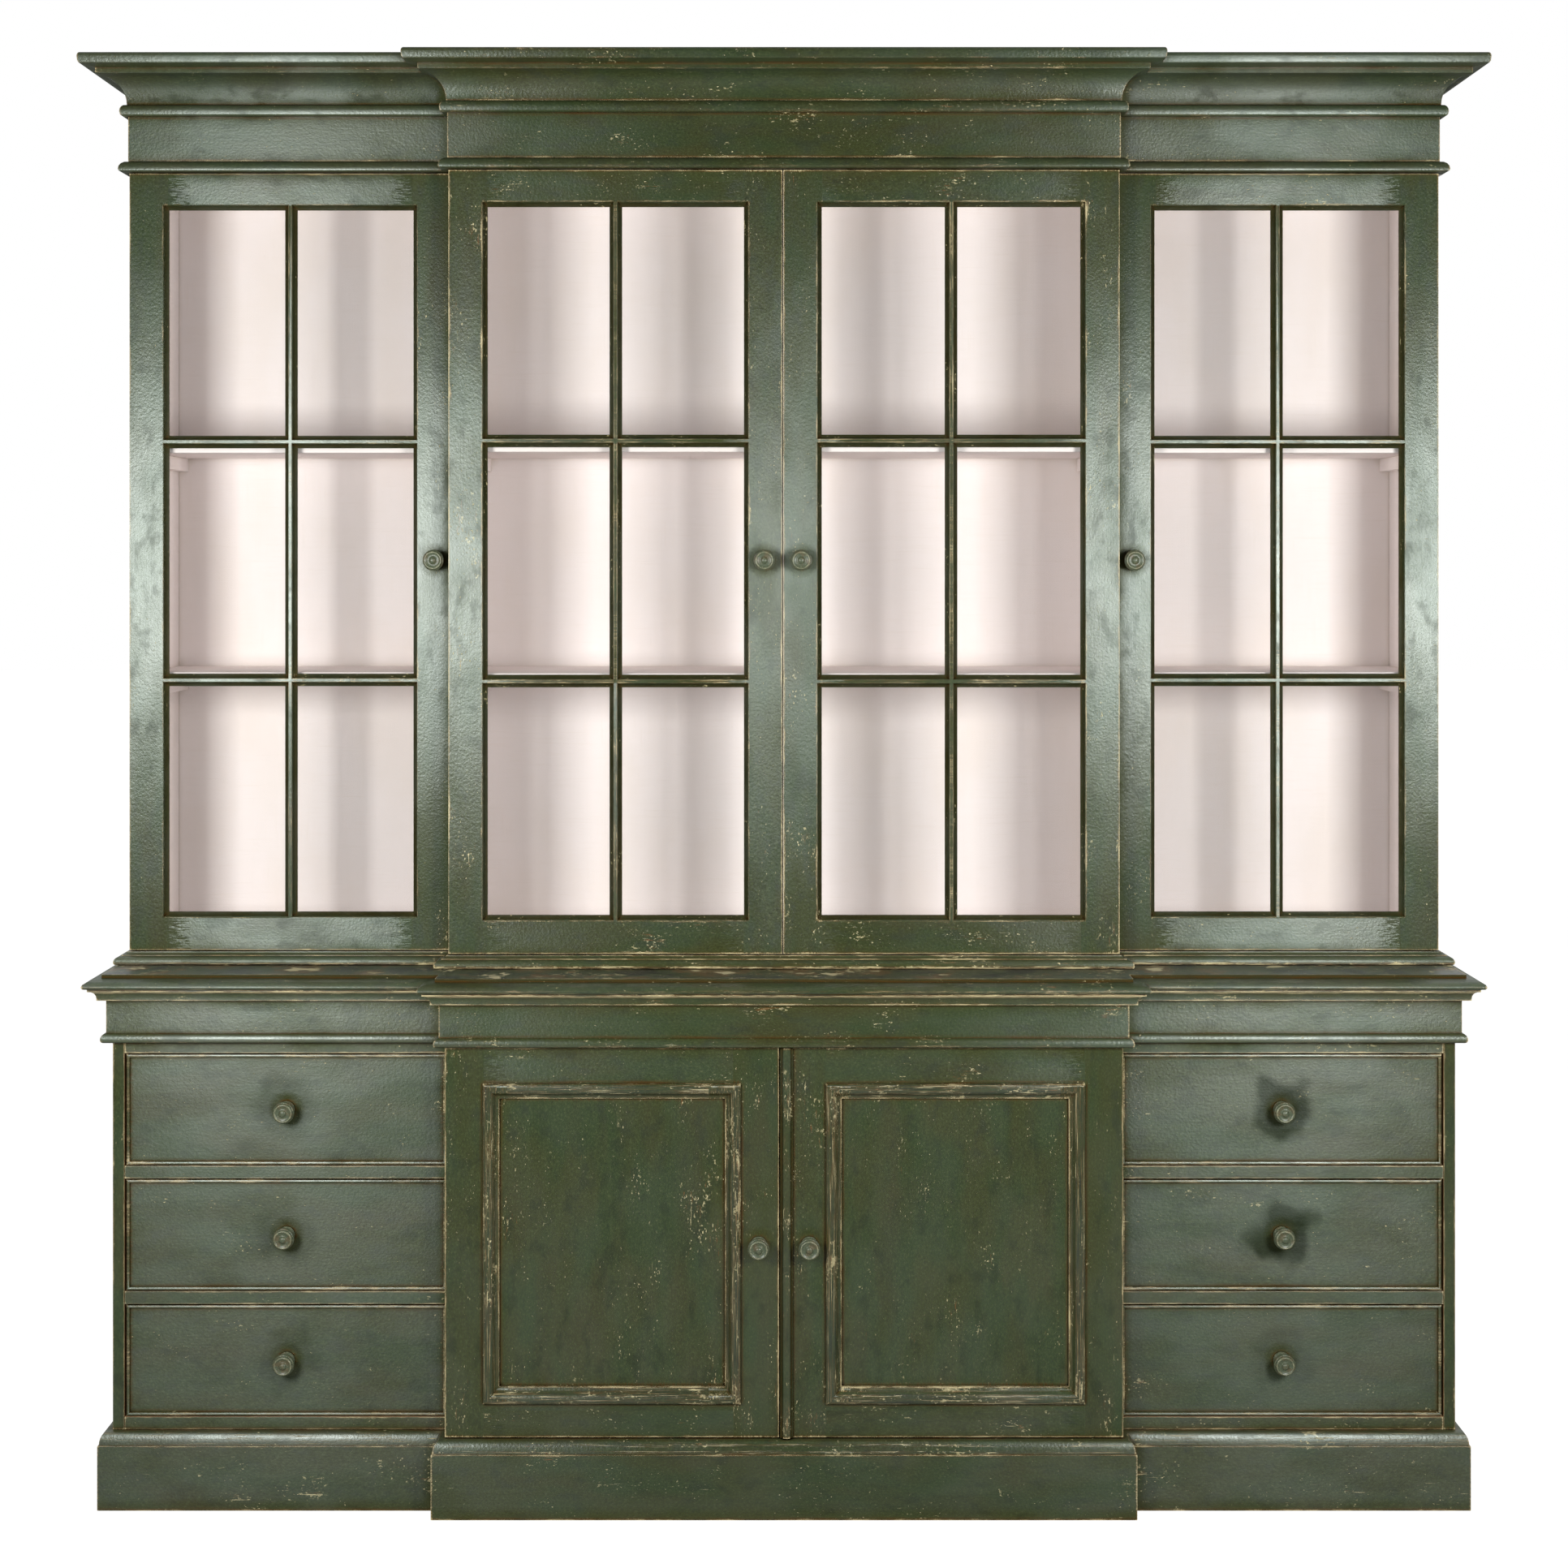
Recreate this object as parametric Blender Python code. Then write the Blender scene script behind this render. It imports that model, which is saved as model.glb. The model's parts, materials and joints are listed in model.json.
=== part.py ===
"""Breakfront display cabinet: a glazed upper case standing on drawers and a cupboard.

Metres, +Z up, the front towards -Y. The origin is on the floor, under the middle of
the cabinet's greatest width and depth. Each part is one closed solid of its own.
"""

import math
from dataclasses import dataclass

import bmesh
import bpy
from mathutils import Matrix, Vector

# Plan of the lower case: from the middle to the outer face, and to the break
LOWER_HALF_WIDTH = 1.153
LOWER_HALF_CENTRE = 0.577
LOWER_DEPTH = 0.416

# Plan of the upper case, which stands back from the lower one
UPPER_HALF_WIDTH = 1.152
UPPER_HALF_CENTRE = 0.585
UPPER_SETBACK = 0.100

# How far the wings stand behind the centre, in both cases
BREAK_DEPTH = 0.040

# Clearances
SEAT_GAP = 0.0003
DOOR_GAP = 0.002
DOOR_BACK_GAP = 0.001
PIVOT_CLEARANCE = 0.0005
SPIGOT_CLEARANCE = 0.0003
PANEL_CLEARANCE = 0.0003
DRAWER_SIDE_GAP = 0.003
DRAWER_TOP_GAP = 0.002
DRAWER_FRONT_GAP = 0.0012
DRAWER_BACK_GAP = 0.012
CUT_OVERRUN = 0.002

# Boards of the two carcases
BOTTOM_THICKNESS = 0.022
LOWER_SIDE_THICKNESS = 0.020
UPPER_SIDE_THICKNESS = 0.019
SHELF_THICKNESS = 0.019
BEARER_WIDTH = 0.018
BEARER_HEIGHT = 0.024
SHELF_SETBACK = 0.010
BEARER_SETBACK = 0.012
SHELF_NOSE = 0.003
CUPBOARD_SHELF_HEIGHT = 0.310
GLAZED_SHELF_HEIGHTS = (0.471, 0.878)

# Boarded backs
BACK_THICKNESS = 0.010
BACK_BOARD_WIDTH = 0.140
BACK_GROOVE_DEPTH = 0.0025
BACK_GROOVE_WIDTH = 0.005

# Mitred frames: plinth, friezes and cornice
FRAME_DEPTH = 0.040
FRAME_BACK_RAIL = 0.020
CORNICE_FRAME_DEPTH = 0.028

# Plinth
PLINTH_BOARD_HEIGHT = 0.110
PLINTH_CAP_HEIGHT = 0.021
PLINTH_REACH = 0.021
PLINTH_QUIRK = 0.002
PLINTH_CAP_REACH = 0.008

# Frieze of the lower case
LOWER_BEAD_HEIGHT = 0.016
LOWER_BEAD_REACH = 0.0175
LOWER_BEAD_FOOT_REACH = 0.0135
LOWER_BEAD_NOSE_HEIGHT = 0.006
LOWER_FRIEZE_HEIGHT = 0.058
LOWER_FRIEZE_REACH = 0.009
BED_LIP_REACH = 0.022
BED_LIP_HEIGHT = 0.0035
BED_COVE_HEIGHT = 0.013
BED_COVE_REACH = 0.033

# Ledge: the moulded top of the lower case
LEDGE_THICKNESS = 0.0265
LEDGE_REACH = 0.043
LEDGE_FOOT_REACH = 0.0345
LEDGE_FOOT_HEIGHT = 0.004
LEDGE_NOSE_HEIGHT = 0.009
LEDGE_THUMB_HEIGHT = 0.0205
LEDGE_FLAT_REACH = 0.015

# Waist: the moulded board under the upper case
WAIST_THICKNESS = 0.021
WAIST_REACH = 0.023
WAIST_FOOT_REACH = 0.020
WAIST_NOSE_HEIGHT = 0.005
WAIST_ROUND_HEIGHT = 0.0145
WAIST_FILLET_HEIGHT = 0.016
WAIST_FILLET_REACH = 0.011
WAIST_TOP_REACH = 0.003

# Top board of the upper case, whose edge is the bead over the doors
UPPER_TOP_THICKNESS = 0.019
UPPER_BEAD_REACH = 0.0165
UPPER_BEAD_FOOT_REACH = 0.0125
UPPER_BEAD_NOSE_HEIGHT = 0.004

# Frieze of the upper case, with the bead under the cornice
UPPER_FRIEZE_HEIGHT = 0.0785
UPPER_FRIEZE_REACH = 0.002
NECK_BEAD_HEIGHT = 0.020
NECK_BEAD_REACH = 0.0145
NECK_BEAD_FOOT_REACH = 0.0105
NECK_BEAD_NOSE_HEIGHT = 0.008
NECK_BEAD_TOP_REACH = 0.006

# Cornice
CORNICE_HEIGHT = 0.0795
CORNICE_REACH = 0.072
CORNICE_FOOT_REACH = 0.004
CORNICE_FOOT_HEIGHT = 0.002
CORNICE_COVE_REACH = 0.045
CORNICE_COVE_TOP = 0.047
CORNICE_FILLET_REACH = 0.047
CORNICE_FILLET_FOOT = 0.0485
CORNICE_FILLET_TOP = 0.0575
CORNICE_SOFFIT_REACH = 0.069
CORNICE_SOFFIT_TOP = 0.061
CORNICE_NOSE_HEIGHT = 0.072
CORNICE_TOP_REACH = 0.0675

# Drawer openings and the rails between them
DRAWERS_HIGH = 3
DRAWER_OPENING_HEIGHT = 0.1935
RAIL_HEIGHT = 0.022
RAIL_DEPTH = 0.045
TOP_RAIL_HEIGHT = 0.020
TOP_RAIL_DEPTH = 0.030
DUST_PANEL_THICKNESS = 0.010

# Drawers
DRAWER_FRONT_THICKNESS = 0.022
DRAWER_SIDE_THICKNESS = 0.012
DRAWER_BOTTOM_THICKNESS = 0.006
DRAWER_BOTTOM_RAISE = 0.006
DRAWER_SIDE_DROP = 0.008
COCK_BEAD_WIDTH = 0.006
COCK_BEAD_PROUD = 0.0045

# Doors: both kinds have the same thickness, and turn on pins in their top and bottom edges
DOOR_THICKNESS = 0.022
PIN_RADIUS = 0.004
PIN_LENGTH = 0.010
PIN_END_CLEARANCE = 0.0005

# Glazed doors
UPPER_BAY_HEIGHT = 1.3705
UPPER_MEETING_X = -0.002
GLAZED_STILE = 0.0585
GLAZED_BOTTOM_RAIL = 0.0575
GLAZED_TOP_RAIL = 0.0545
BAR_RIDGE = 0.005
BAR_SLOPE = 0.0085
BAR_ARRIS = 0.001
BAR_DEPTH = 0.013
PANE_COLUMNS = 2
PANE_ROWS = 3
GLASS_THICKNESS = 0.003
GLASS_REBATE = 0.009

# Cupboard doors
LOWER_MEETING_X = -0.0075
CUPBOARD_STILE = 0.065
CUPBOARD_STRIKE_STILE = 0.0775
CUPBOARD_BOTTOM_RAIL = 0.057
CUPBOARD_TOP_RAIL = 0.061
BOLECTION_WIDTH = 0.027
BOLECTION_PROUD = 0.008
BOLECTION_QUIRK = 0.003
BOLECTION_ROUND_WIDTH = 0.006
BOLECTION_RIDGE_WIDTH = 0.004
BOLECTION_SINK = 0.005
PANEL_SEAT_DEPTH = 0.010
PANEL_THICKNESS = 0.008
PANEL_REBATE = 0.010
ASTRAGAL_WIDTH = 0.022
ASTRAGAL_PROUD = 0.008
ASTRAGAL_FILLET = 0.003

# Turned knobs, all alike
KNOB_PROJECTION = 0.0385
KNOB_RADIUS = 0.0185
SPIGOT_RADIUS = 0.005
SPIGOT_LENGTH = 0.0115
CENTRE_GLAZED_KNOB_INSET = 0.031
WING_GLAZED_KNOB_INSET = 0.0265
GLAZED_KNOB_HEIGHT = 0.686
CUPBOARD_KNOB_SPREAD = 0.043
CUPBOARD_KNOB_HEIGHT = 0.3275

# From the door face outwards, as shares of the projection and of the radius
KNOB_PROFILE_SHARES = (
    (0.00, 0.74),
    (0.07, 0.77),
    (0.14, 0.66),
    (0.28, 0.52),
    (0.42, 0.62),
    (0.55, 0.90),
    (0.66, 1.00),
    (0.80, 0.97),
    (0.91, 0.84),
    (0.94, 0.78),
    (0.91, 0.66),
    (0.89, 0.36),
    (0.95, 0.30),
    (1.00, 0.12),
)

# Smoothness of round work, in steps, sides and degrees
MOULDING_STEPS = 5
COVE_STEPS = 10
BEAD_STEPS = 4
SMALL_BEAD_STEPS = 2
CORNER_STEPS = 5
EASED_EDGE_STEPS = 2
KNOB_SIDES = 16
PIN_SIDES = 12
SMOOTH_UP_TO_DEGREES = 35
ROUND_BEVEL_SHARE = 0.5

# Places that follow from the sizes
BACK_Y = (LOWER_DEPTH + LEDGE_REACH) / 2
LOWER_FACE_Y = BACK_Y - LOWER_DEPTH
UPPER_FACE_Y = LOWER_FACE_Y + UPPER_SETBACK
CARCASE_SETBACK = DOOR_THICKNESS + DOOR_BACK_GAP
BACK_PANEL_Y = BACK_Y - BACK_THICKNESS
PIVOT_INSET = DOOR_THICKNESS / 2

PLINTH_TOP_Z = PLINTH_BOARD_HEIGHT + PLINTH_CAP_HEIGHT
BOTTOM_Z = PLINTH_TOP_Z + SEAT_GAP
LOWER_INSIDE_Z = BOTTOM_Z + BOTTOM_THICKNESS
DRAWER_PITCH = DRAWER_OPENING_HEIGHT + RAIL_HEIGHT
LOWER_INSIDE_HEIGHT = DRAWERS_HIGH * DRAWER_PITCH - RAIL_HEIGHT + TOP_RAIL_HEIGHT
BASE_FRIEZE_Z = LOWER_INSIDE_Z + LOWER_INSIDE_HEIGHT
BASE_FRIEZE_HEIGHT = LOWER_BEAD_HEIGHT + LOWER_FRIEZE_HEIGHT + BED_LIP_HEIGHT + BED_COVE_HEIGHT
LEDGE_Z = BASE_FRIEZE_Z + BASE_FRIEZE_HEIGHT + SEAT_GAP
WAIST_Z = LEDGE_Z + LEDGE_THICKNESS + SEAT_GAP
UPPER_INSIDE_Z = WAIST_Z + WAIST_THICKNESS
UPPER_TOP_Z = UPPER_INSIDE_Z + UPPER_BAY_HEIGHT
UPPER_FRIEZE_Z = UPPER_TOP_Z + UPPER_TOP_THICKNESS + SEAT_GAP
CORNICE_Z = UPPER_FRIEZE_Z + UPPER_FRIEZE_HEIGHT + NECK_BEAD_HEIGHT + SEAT_GAP


@dataclass(frozen=True)
class Finish:
    """Colour of a surface in linear values, with its roughness and metallic value."""

    colour: tuple
    roughness: float
    metallic: float = 0.0
    transmission: float = 0.0


GREEN_PAINT = Finish((0.062, 0.088, 0.060), 0.42)
CREAM_PAINT = Finish((0.76, 0.70, 0.63), 0.60)
KNOB_PAINT = Finish((0.085, 0.090, 0.055), 0.40)
BARE_WOOD = Finish((0.36, 0.23, 0.12), 0.65)
CLEAR_GLASS = Finish((0.95, 0.97, 0.96), 0.03, 0.0, 1.0)


@dataclass(frozen=True)
class Case:
    """Plan of a case: half its width, half its centre section and its two front planes."""

    half_width: float
    half_centre: float
    centre_y: float

    @property
    def wing_y(self):
        return self.centre_y + BREAK_DEPTH

    def outline(self, reach, back_y=BACK_Y):
        """The breakfront outline, moved out by reach at the front and the two ends."""
        wide = self.half_width + reach
        narrow = self.half_centre + reach
        wing = self.wing_y - reach
        centre = self.centre_y - reach
        left = [(-wide, back_y), (-wide, wing), (-narrow, wing), (-narrow, centre)]
        return left + [(-x, y) for x, y in reversed(left)]


LOWER = Case(LOWER_HALF_WIDTH, LOWER_HALF_CENTRE, LOWER_FACE_Y)
UPPER = Case(UPPER_HALF_WIDTH, UPPER_HALF_CENTRE, UPPER_FACE_Y)


def clear_scene():
    """Removes every object that the scene holds."""
    for obj in list(bpy.data.objects):
        bpy.data.objects.remove(obj, do_unlink=True)


def plain_material(name, finish):
    """A plain surface of this finish."""
    material = bpy.data.materials.new(name)
    material.use_nodes = True
    shader = material.node_tree.nodes["Principled BSDF"]
    shader.inputs["Base Color"].default_value = (*finish.colour, 1.0)
    shader.inputs["Roughness"].default_value = finish.roughness
    shader.inputs["Metallic"].default_value = finish.metallic
    shader.inputs["Transmission Weight"].default_value = finish.transmission
    return material


def solid(name, bm, finish=None, parent=None):
    """Makes an object of the faces in bm, all pointing out, on its parent if it has one."""
    bmesh.ops.recalc_face_normals(bm, faces=bm.faces)
    mesh = bpy.data.meshes.new(name)
    bm.to_mesh(mesh)
    bm.free()
    obj = bpy.data.objects.new(name, mesh)
    bpy.context.scene.collection.objects.link(obj)
    obj.parent = parent
    if finish:
        mesh.materials.append(plain_material(name + "_finish", finish))
    return obj


def round_work(obj):
    """Shades a turned piece smooth, apart from its sharp edges."""
    obj.data.shade_smooth()
    obj.data.set_sharp_from_angle(angle=math.radians(SMOOTH_UP_TO_DEGREES))
    return obj


def combine(body, tool, operation):
    """Joins a tool to a body, or cuts the body with it, and removes the tool."""
    modifier = body.modifiers.new(operation, "BOOLEAN")
    modifier.operation = operation
    modifier.solver = "EXACT"
    modifier.object = tool
    tool.parent = body.parent
    bpy.context.view_layer.update()
    graph = bpy.context.evaluated_depsgraph_get()
    before = body.data
    body.data = bpy.data.meshes.new_from_object(body.evaluated_get(graph))
    body.modifiers.clear()
    bpy.data.meshes.remove(before)
    bpy.data.objects.remove(tool, do_unlink=True)
    return body


def empty(name, place):
    """A marker that carries the pieces of one moving body, with its origin on the joint's axis."""
    marker = bpy.data.objects.new(name, None)
    marker.location = place
    bpy.context.scene.collection.objects.link(marker)
    return marker


def new_loop(bm, points):
    """New points of a loop, in order."""
    return [bm.verts.new(point) for point in points]


def stitch(bm, near, far, sides=None):
    """Faces between two matching closed loops of points, or along their first few sides only."""
    for k in range(len(near) if sides is None else sides):
        n = (k + 1) % len(near)
        bm.faces.new((near[k], near[n], far[n], far[k]))


def loft(bm, rings):
    """Skins rings of matching points and caps both ends."""
    loops = [new_loop(bm, ring) for ring in rings]
    for near, far in zip(loops, loops[1:]):
        stitch(bm, near, far)
    bm.faces.new(loops[0])
    bm.faces.new(loops[-1])


def add_box(bm, low, high):
    """Adds a box between two corners."""
    size = Vector(high) - Vector(low)
    middle = (Vector(high) + Vector(low)) / 2
    place = Matrix.Translation(middle) @ Matrix.Diagonal((*size, 1.0))
    return bmesh.ops.create_cube(bm, size=1, matrix=place)["verts"]


def ease(bm, edges, radius, steps):
    """Rounds edges to a radius."""
    bmesh.ops.bevel(
        bm, geom=edges, offset=radius, segments=steps, profile=ROUND_BEVEL_SHARE, affect="EDGES"
    )


def box(name, low, high, finish=None, parent=None):
    """A plain board between two corners."""
    bm = bmesh.new()
    add_box(bm, low, high)
    return solid(name, bm, finish, parent)


def cylinder(name, middle, radius, length, axis, sides):
    """A round rod or cutter along the Y or Z axis."""
    bm = bmesh.new()
    turn = Matrix.Rotation(math.pi / 2, 4, "X") if axis == "Y" else Matrix.Identity(4)
    bmesh.ops.create_cone(
        bm,
        cap_ends=True,
        segments=sides,
        radius1=radius,
        radius2=radius,
        depth=length,
        matrix=Matrix.Translation(middle) @ turn,
    )
    return solid(name, bm)


def rectangle(x0, x1, z0, z1, y, inset=0.0):
    """Four corners of an upright rectangle at depth y, drawn in by the inset."""
    return [
        (x0 + inset, y, z0 + inset),
        (x1 - inset, y, z0 + inset),
        (x1 - inset, y, z1 - inset),
        (x0 + inset, y, z1 - inset),
    ]


def bend(start, end, upright_first, steps=MOULDING_STEPS):
    """A quarter of an ellipse between two points of a profile, without its first point.

    It sets off upright and arrives level, or the other way about.
    """
    points = []
    for k in range(1, steps + 1):
        angle = math.pi / 2 * k / steps
        slow = 1 - math.cos(angle)
        fast = math.sin(angle)
        along, up = (slow, fast) if upright_first else (fast, slow)
        points.append((start[0] + (end[0] - start[0]) * along, start[1] + (end[1] - start[1]) * up))
    return points


def nose(foot, tip, top):
    """A rounded edge: out from the foot to the tip, then up and in to the top."""
    lower = bend(foot, tip, upright_first=False, steps=SMALL_BEAD_STEPS)
    return [foot, *lower, *bend(tip, top, upright_first=True, steps=BEAD_STEPS)]


def moulded_rings(case, profile, base_z):
    """The breakfront outline at each point of a profile of reaches and heights."""
    return [[(x, y, base_z + up) for x, y in case.outline(reach)] for reach, up in profile]


def moulded_skin(bm, case, profile, base_z):
    """Faces up the moulded front and ends, with the flat back as one face; gives the end loops."""
    loops = [new_loop(bm, ring) for ring in moulded_rings(case, profile, base_z)]
    for near, far in zip(loops, loops[1:]):
        stitch(bm, near, far, sides=len(near) - 1)
    left = [loop[0] for loop in loops]
    right = [loop[-1] for loop in reversed(loops)]
    bm.faces.new(left + right)
    return loops[0], loops[-1]


def moulded_board(name, case, profile, base_z, finish):
    """A breakfront board whose front and ends are moulded to the profile."""
    bm = bmesh.new()
    for cap in moulded_skin(bm, case, profile, base_z):
        bm.faces.new(cap)
    return solid(name, bm, finish)


def moulded_frame(name, case, profile, base_z, depth, finish):
    """A mitred breakfront frame with a back rail, moulded outside and open in the middle."""
    inside = case.outline(-depth, BACK_Y - FRAME_BACK_RAIL)
    bm = bmesh.new()
    outer_low, outer_high = moulded_skin(bm, case, profile, base_z)
    inner_low = new_loop(bm, [(x, y, outer_low[0].co.z) for x, y in inside])
    inner_high = new_loop(bm, [(x, y, outer_high[0].co.z) for x, y in inside])
    stitch(bm, outer_high, inner_high)
    stitch(bm, inner_high, inner_low)
    stitch(bm, inner_low, outer_low)
    return solid(name, bm, finish)


def cut_pivot_socket(body, pivot_x, pivot_y, face_z, up):
    """Bores a blind socket for a door's pin, upwards or downwards from a face."""
    deep = PIN_LENGTH + PIN_END_CLEARANCE - DOOR_GAP
    middle_z = face_z + up * (deep - CUT_OVERRUN) / 2
    bore = cylinder(
        "socket_bore",
        (pivot_x, pivot_y, middle_z),
        PIN_RADIUS + PIVOT_CLEARANCE,
        deep + CUT_OVERRUN,
        "Z",
        PIN_SIDES,
    )
    combine(body, bore, "DIFFERENCE")


def plinth_profile():
    """Plain board with a small set-back and a rounded capping."""
    board_top = (PLINTH_REACH, PLINTH_BOARD_HEIGHT)
    quirk = (PLINTH_REACH - PLINTH_QUIRK, PLINTH_BOARD_HEIGHT)
    cap = bend(quirk, (PLINTH_CAP_REACH, PLINTH_TOP_Z), upright_first=True)
    return [(PLINTH_REACH, 0.0), board_top, quirk, *cap]


def base_frieze_profile():
    """Nosed bead, plain frieze and the hollow bed mould under the ledge."""
    bead = nose(
        (LOWER_BEAD_FOOT_REACH, 0.0),
        (LOWER_BEAD_REACH, LOWER_BEAD_NOSE_HEIGHT),
        (LOWER_FRIEZE_REACH, LOWER_BEAD_HEIGHT),
    )
    lip_z = LOWER_BEAD_HEIGHT + LOWER_FRIEZE_HEIGHT
    lip_top = (BED_LIP_REACH, lip_z + BED_LIP_HEIGHT)
    cove = bend(lip_top, (BED_COVE_REACH, BASE_FRIEZE_HEIGHT), upright_first=True)
    return [*bead, (LOWER_FRIEZE_REACH, lip_z), (BED_LIP_REACH, lip_z), lip_top, *cove]


def ledge_profile():
    """Small foot, thumb moulding and the fillet at the edge of the flat top."""
    thumb = nose(
        (LEDGE_FOOT_REACH, LEDGE_FOOT_HEIGHT),
        (LEDGE_REACH, LEDGE_NOSE_HEIGHT),
        (LEDGE_FLAT_REACH, LEDGE_THUMB_HEIGHT),
    )
    return [(LEDGE_FOOT_REACH, 0.0), *thumb, (LEDGE_FLAT_REACH, LEDGE_THICKNESS)]


def waist_profile():
    """Rounded nose, fillet and a hollow up to the doors."""
    rounded = nose(
        (WAIST_FOOT_REACH, 0.0),
        (WAIST_REACH, WAIST_NOSE_HEIGHT),
        (WAIST_FILLET_REACH, WAIST_ROUND_HEIGHT),
    )
    fillet = (WAIST_FILLET_REACH, WAIST_FILLET_HEIGHT)
    hollow = bend(fillet, (WAIST_TOP_REACH, WAIST_THICKNESS), upright_first=False)
    return [*rounded, fillet, *hollow]


def door_bead_profile():
    """The nosed edge of the board over the glazed doors."""
    return nose(
        (UPPER_BEAD_FOOT_REACH, 0.0),
        (UPPER_BEAD_REACH, UPPER_BEAD_NOSE_HEIGHT),
        (UPPER_FRIEZE_REACH, UPPER_TOP_THICKNESS),
    )


def upper_frieze_profile():
    """Plain frieze with a round bead on top of it."""
    top = UPPER_FRIEZE_HEIGHT
    bead = nose(
        (NECK_BEAD_FOOT_REACH, top),
        (NECK_BEAD_REACH, top + NECK_BEAD_NOSE_HEIGHT),
        (NECK_BEAD_TOP_REACH, top + NECK_BEAD_HEIGHT),
    )
    return [(UPPER_FRIEZE_REACH, 0.0), (UPPER_FRIEZE_REACH, top), *bead]


def cornice_profile():
    """Deep cove, fillet, soffit and rounded nose."""
    foot = (CORNICE_FOOT_REACH, CORNICE_FOOT_HEIGHT)
    cove_top = (CORNICE_COVE_REACH, CORNICE_COVE_TOP)
    cove = bend(foot, cove_top, upright_first=True, steps=COVE_STEPS)
    rounded = nose(
        (CORNICE_SOFFIT_REACH, CORNICE_SOFFIT_TOP),
        (CORNICE_REACH, CORNICE_NOSE_HEIGHT),
        (CORNICE_TOP_REACH, CORNICE_HEIGHT),
    )
    return [
        (CORNICE_FOOT_REACH, 0.0),
        foot,
        *cove,
        (CORNICE_FILLET_REACH, CORNICE_FILLET_FOOT),
        (CORNICE_FILLET_REACH, CORNICE_FILLET_TOP),
        *rounded,
    ]


def build_plinth():
    """Mitred plinth that carries the lower case, with the sockets of the cupboard doors."""
    plinth = moulded_frame("plinth", LOWER, plinth_profile(), 0.0, FRAME_DEPTH, GREEN_PAINT)
    for side in (-1, 1):
        pivot_x = side * (LOWER_HALF_CENTRE - PIVOT_INSET)
        cut_pivot_socket(plinth, pivot_x, LOWER_FACE_Y + PIVOT_INSET, PLINTH_TOP_Z, -1)


def build_base_frieze():
    """Frieze frame of the lower case, with the rails over the drawers and the doors' top sockets."""
    frieze = moulded_frame(
        "base_frieze", LOWER, base_frieze_profile(), BASE_FRIEZE_Z, FRAME_DEPTH, GREEN_PAINT
    )
    for side in (-1, 1):
        outer_x = side * (LOWER_HALF_WIDTH - LOWER_SIDE_THICKNESS - SEAT_GAP)
        inner_x = side * (LOWER_HALF_CENTRE + SEAT_GAP)
        rail = box(
            "top_rail",
            (min(outer_x, inner_x), LOWER.wing_y, BASE_FRIEZE_Z - TOP_RAIL_HEIGHT),
            (max(outer_x, inner_x), LOWER.wing_y + TOP_RAIL_DEPTH, BASE_FRIEZE_Z + LOWER_BEAD_HEIGHT),
        )
        combine(frieze, rail, "UNION")
        pivot_x = side * (LOWER_HALF_CENTRE - PIVOT_INSET)
        cut_pivot_socket(frieze, pivot_x, LOWER_FACE_Y + PIVOT_INSET, BASE_FRIEZE_Z, 1)


def glazed_pivots():
    """Where the four glazed doors turn."""
    wing = UPPER_HALF_WIDTH - PIVOT_INSET
    centre = UPPER_HALF_CENTRE - PIVOT_INSET
    places = []
    for side in (-1, 1):
        places.append((side * wing, UPPER.wing_y + PIVOT_INSET))
        places.append((side * centre, UPPER.centre_y + PIVOT_INSET))
    return places


def build_upper_boards():
    """Waist board under the glazed doors and the beaded board over them, with the doors' sockets."""
    waist = moulded_board("upper_base", UPPER, waist_profile(), WAIST_Z, GREEN_PAINT)
    top = moulded_board("upper_top", UPPER, door_bead_profile(), UPPER_TOP_Z, GREEN_PAINT)
    for pivot_x, pivot_y in glazed_pivots():
        cut_pivot_socket(waist, pivot_x, pivot_y, UPPER_INSIDE_Z, -1)
        cut_pivot_socket(top, pivot_x, pivot_y, UPPER_TOP_Z, 1)


def build_base_bottom():
    """Bottom board between the ends, which shows as a rail under the drawers."""
    half = LOWER_HALF_WIDTH - LOWER_SIDE_THICKNESS - SEAT_GAP
    wing = LOWER.wing_y
    centre = LOWER.centre_y + CARCASE_SETBACK
    left = [(half, BACK_Y), (half, wing), (LOWER_HALF_CENTRE, wing), (LOWER_HALF_CENTRE, centre)]
    plan = [(-x, y) for x, y in left] + list(reversed(left))
    bm = bmesh.new()
    loft(bm, [[(x, y, z) for x, y in plan] for z in (BOTTOM_Z, LOWER_INSIDE_Z)])
    solid("base_bottom", bm, GREEN_PAINT)


def build_back(name, half_width, low_z, high_z, finish):
    """Back of upright boards between the ends, with a V groove outside at each joint."""
    count = max(1, round(2 * half_width / BACK_BOARD_WIDTH))
    pitch = 2 * half_width / count
    plan = [(half_width, BACK_PANEL_Y), (-half_width, BACK_PANEL_Y), (-half_width, BACK_Y)]
    for k in range(1, count):
        joint = -half_width + k * pitch
        plan += [
            (joint - BACK_GROOVE_WIDTH / 2, BACK_Y),
            (joint, BACK_Y - BACK_GROOVE_DEPTH),
            (joint + BACK_GROOVE_WIDTH / 2, BACK_Y),
        ]
    plan.append((half_width, BACK_Y))
    bm = bmesh.new()
    loft(bm, [[(x, y, z) for x, y in plan] for z in (low_z, high_z)])
    return solid(name, bm, finish)


def add_bearers(upright, face_x, side, front_y, shelf_levels):
    """Joins a bearer batten under each shelf to the face of an upright that looks to this side."""
    ends = sorted((face_x - side * CUT_OVERRUN, face_x + side * BEARER_WIDTH))
    for level in shelf_levels:
        top = level - SEAT_GAP
        bearer = box(
            "bearer",
            (ends[0], front_y, top - BEARER_HEIGHT),
            (ends[1], BACK_PANEL_Y - SEAT_GAP, top),
        )
        combine(upright, bearer, "UNION")


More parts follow.
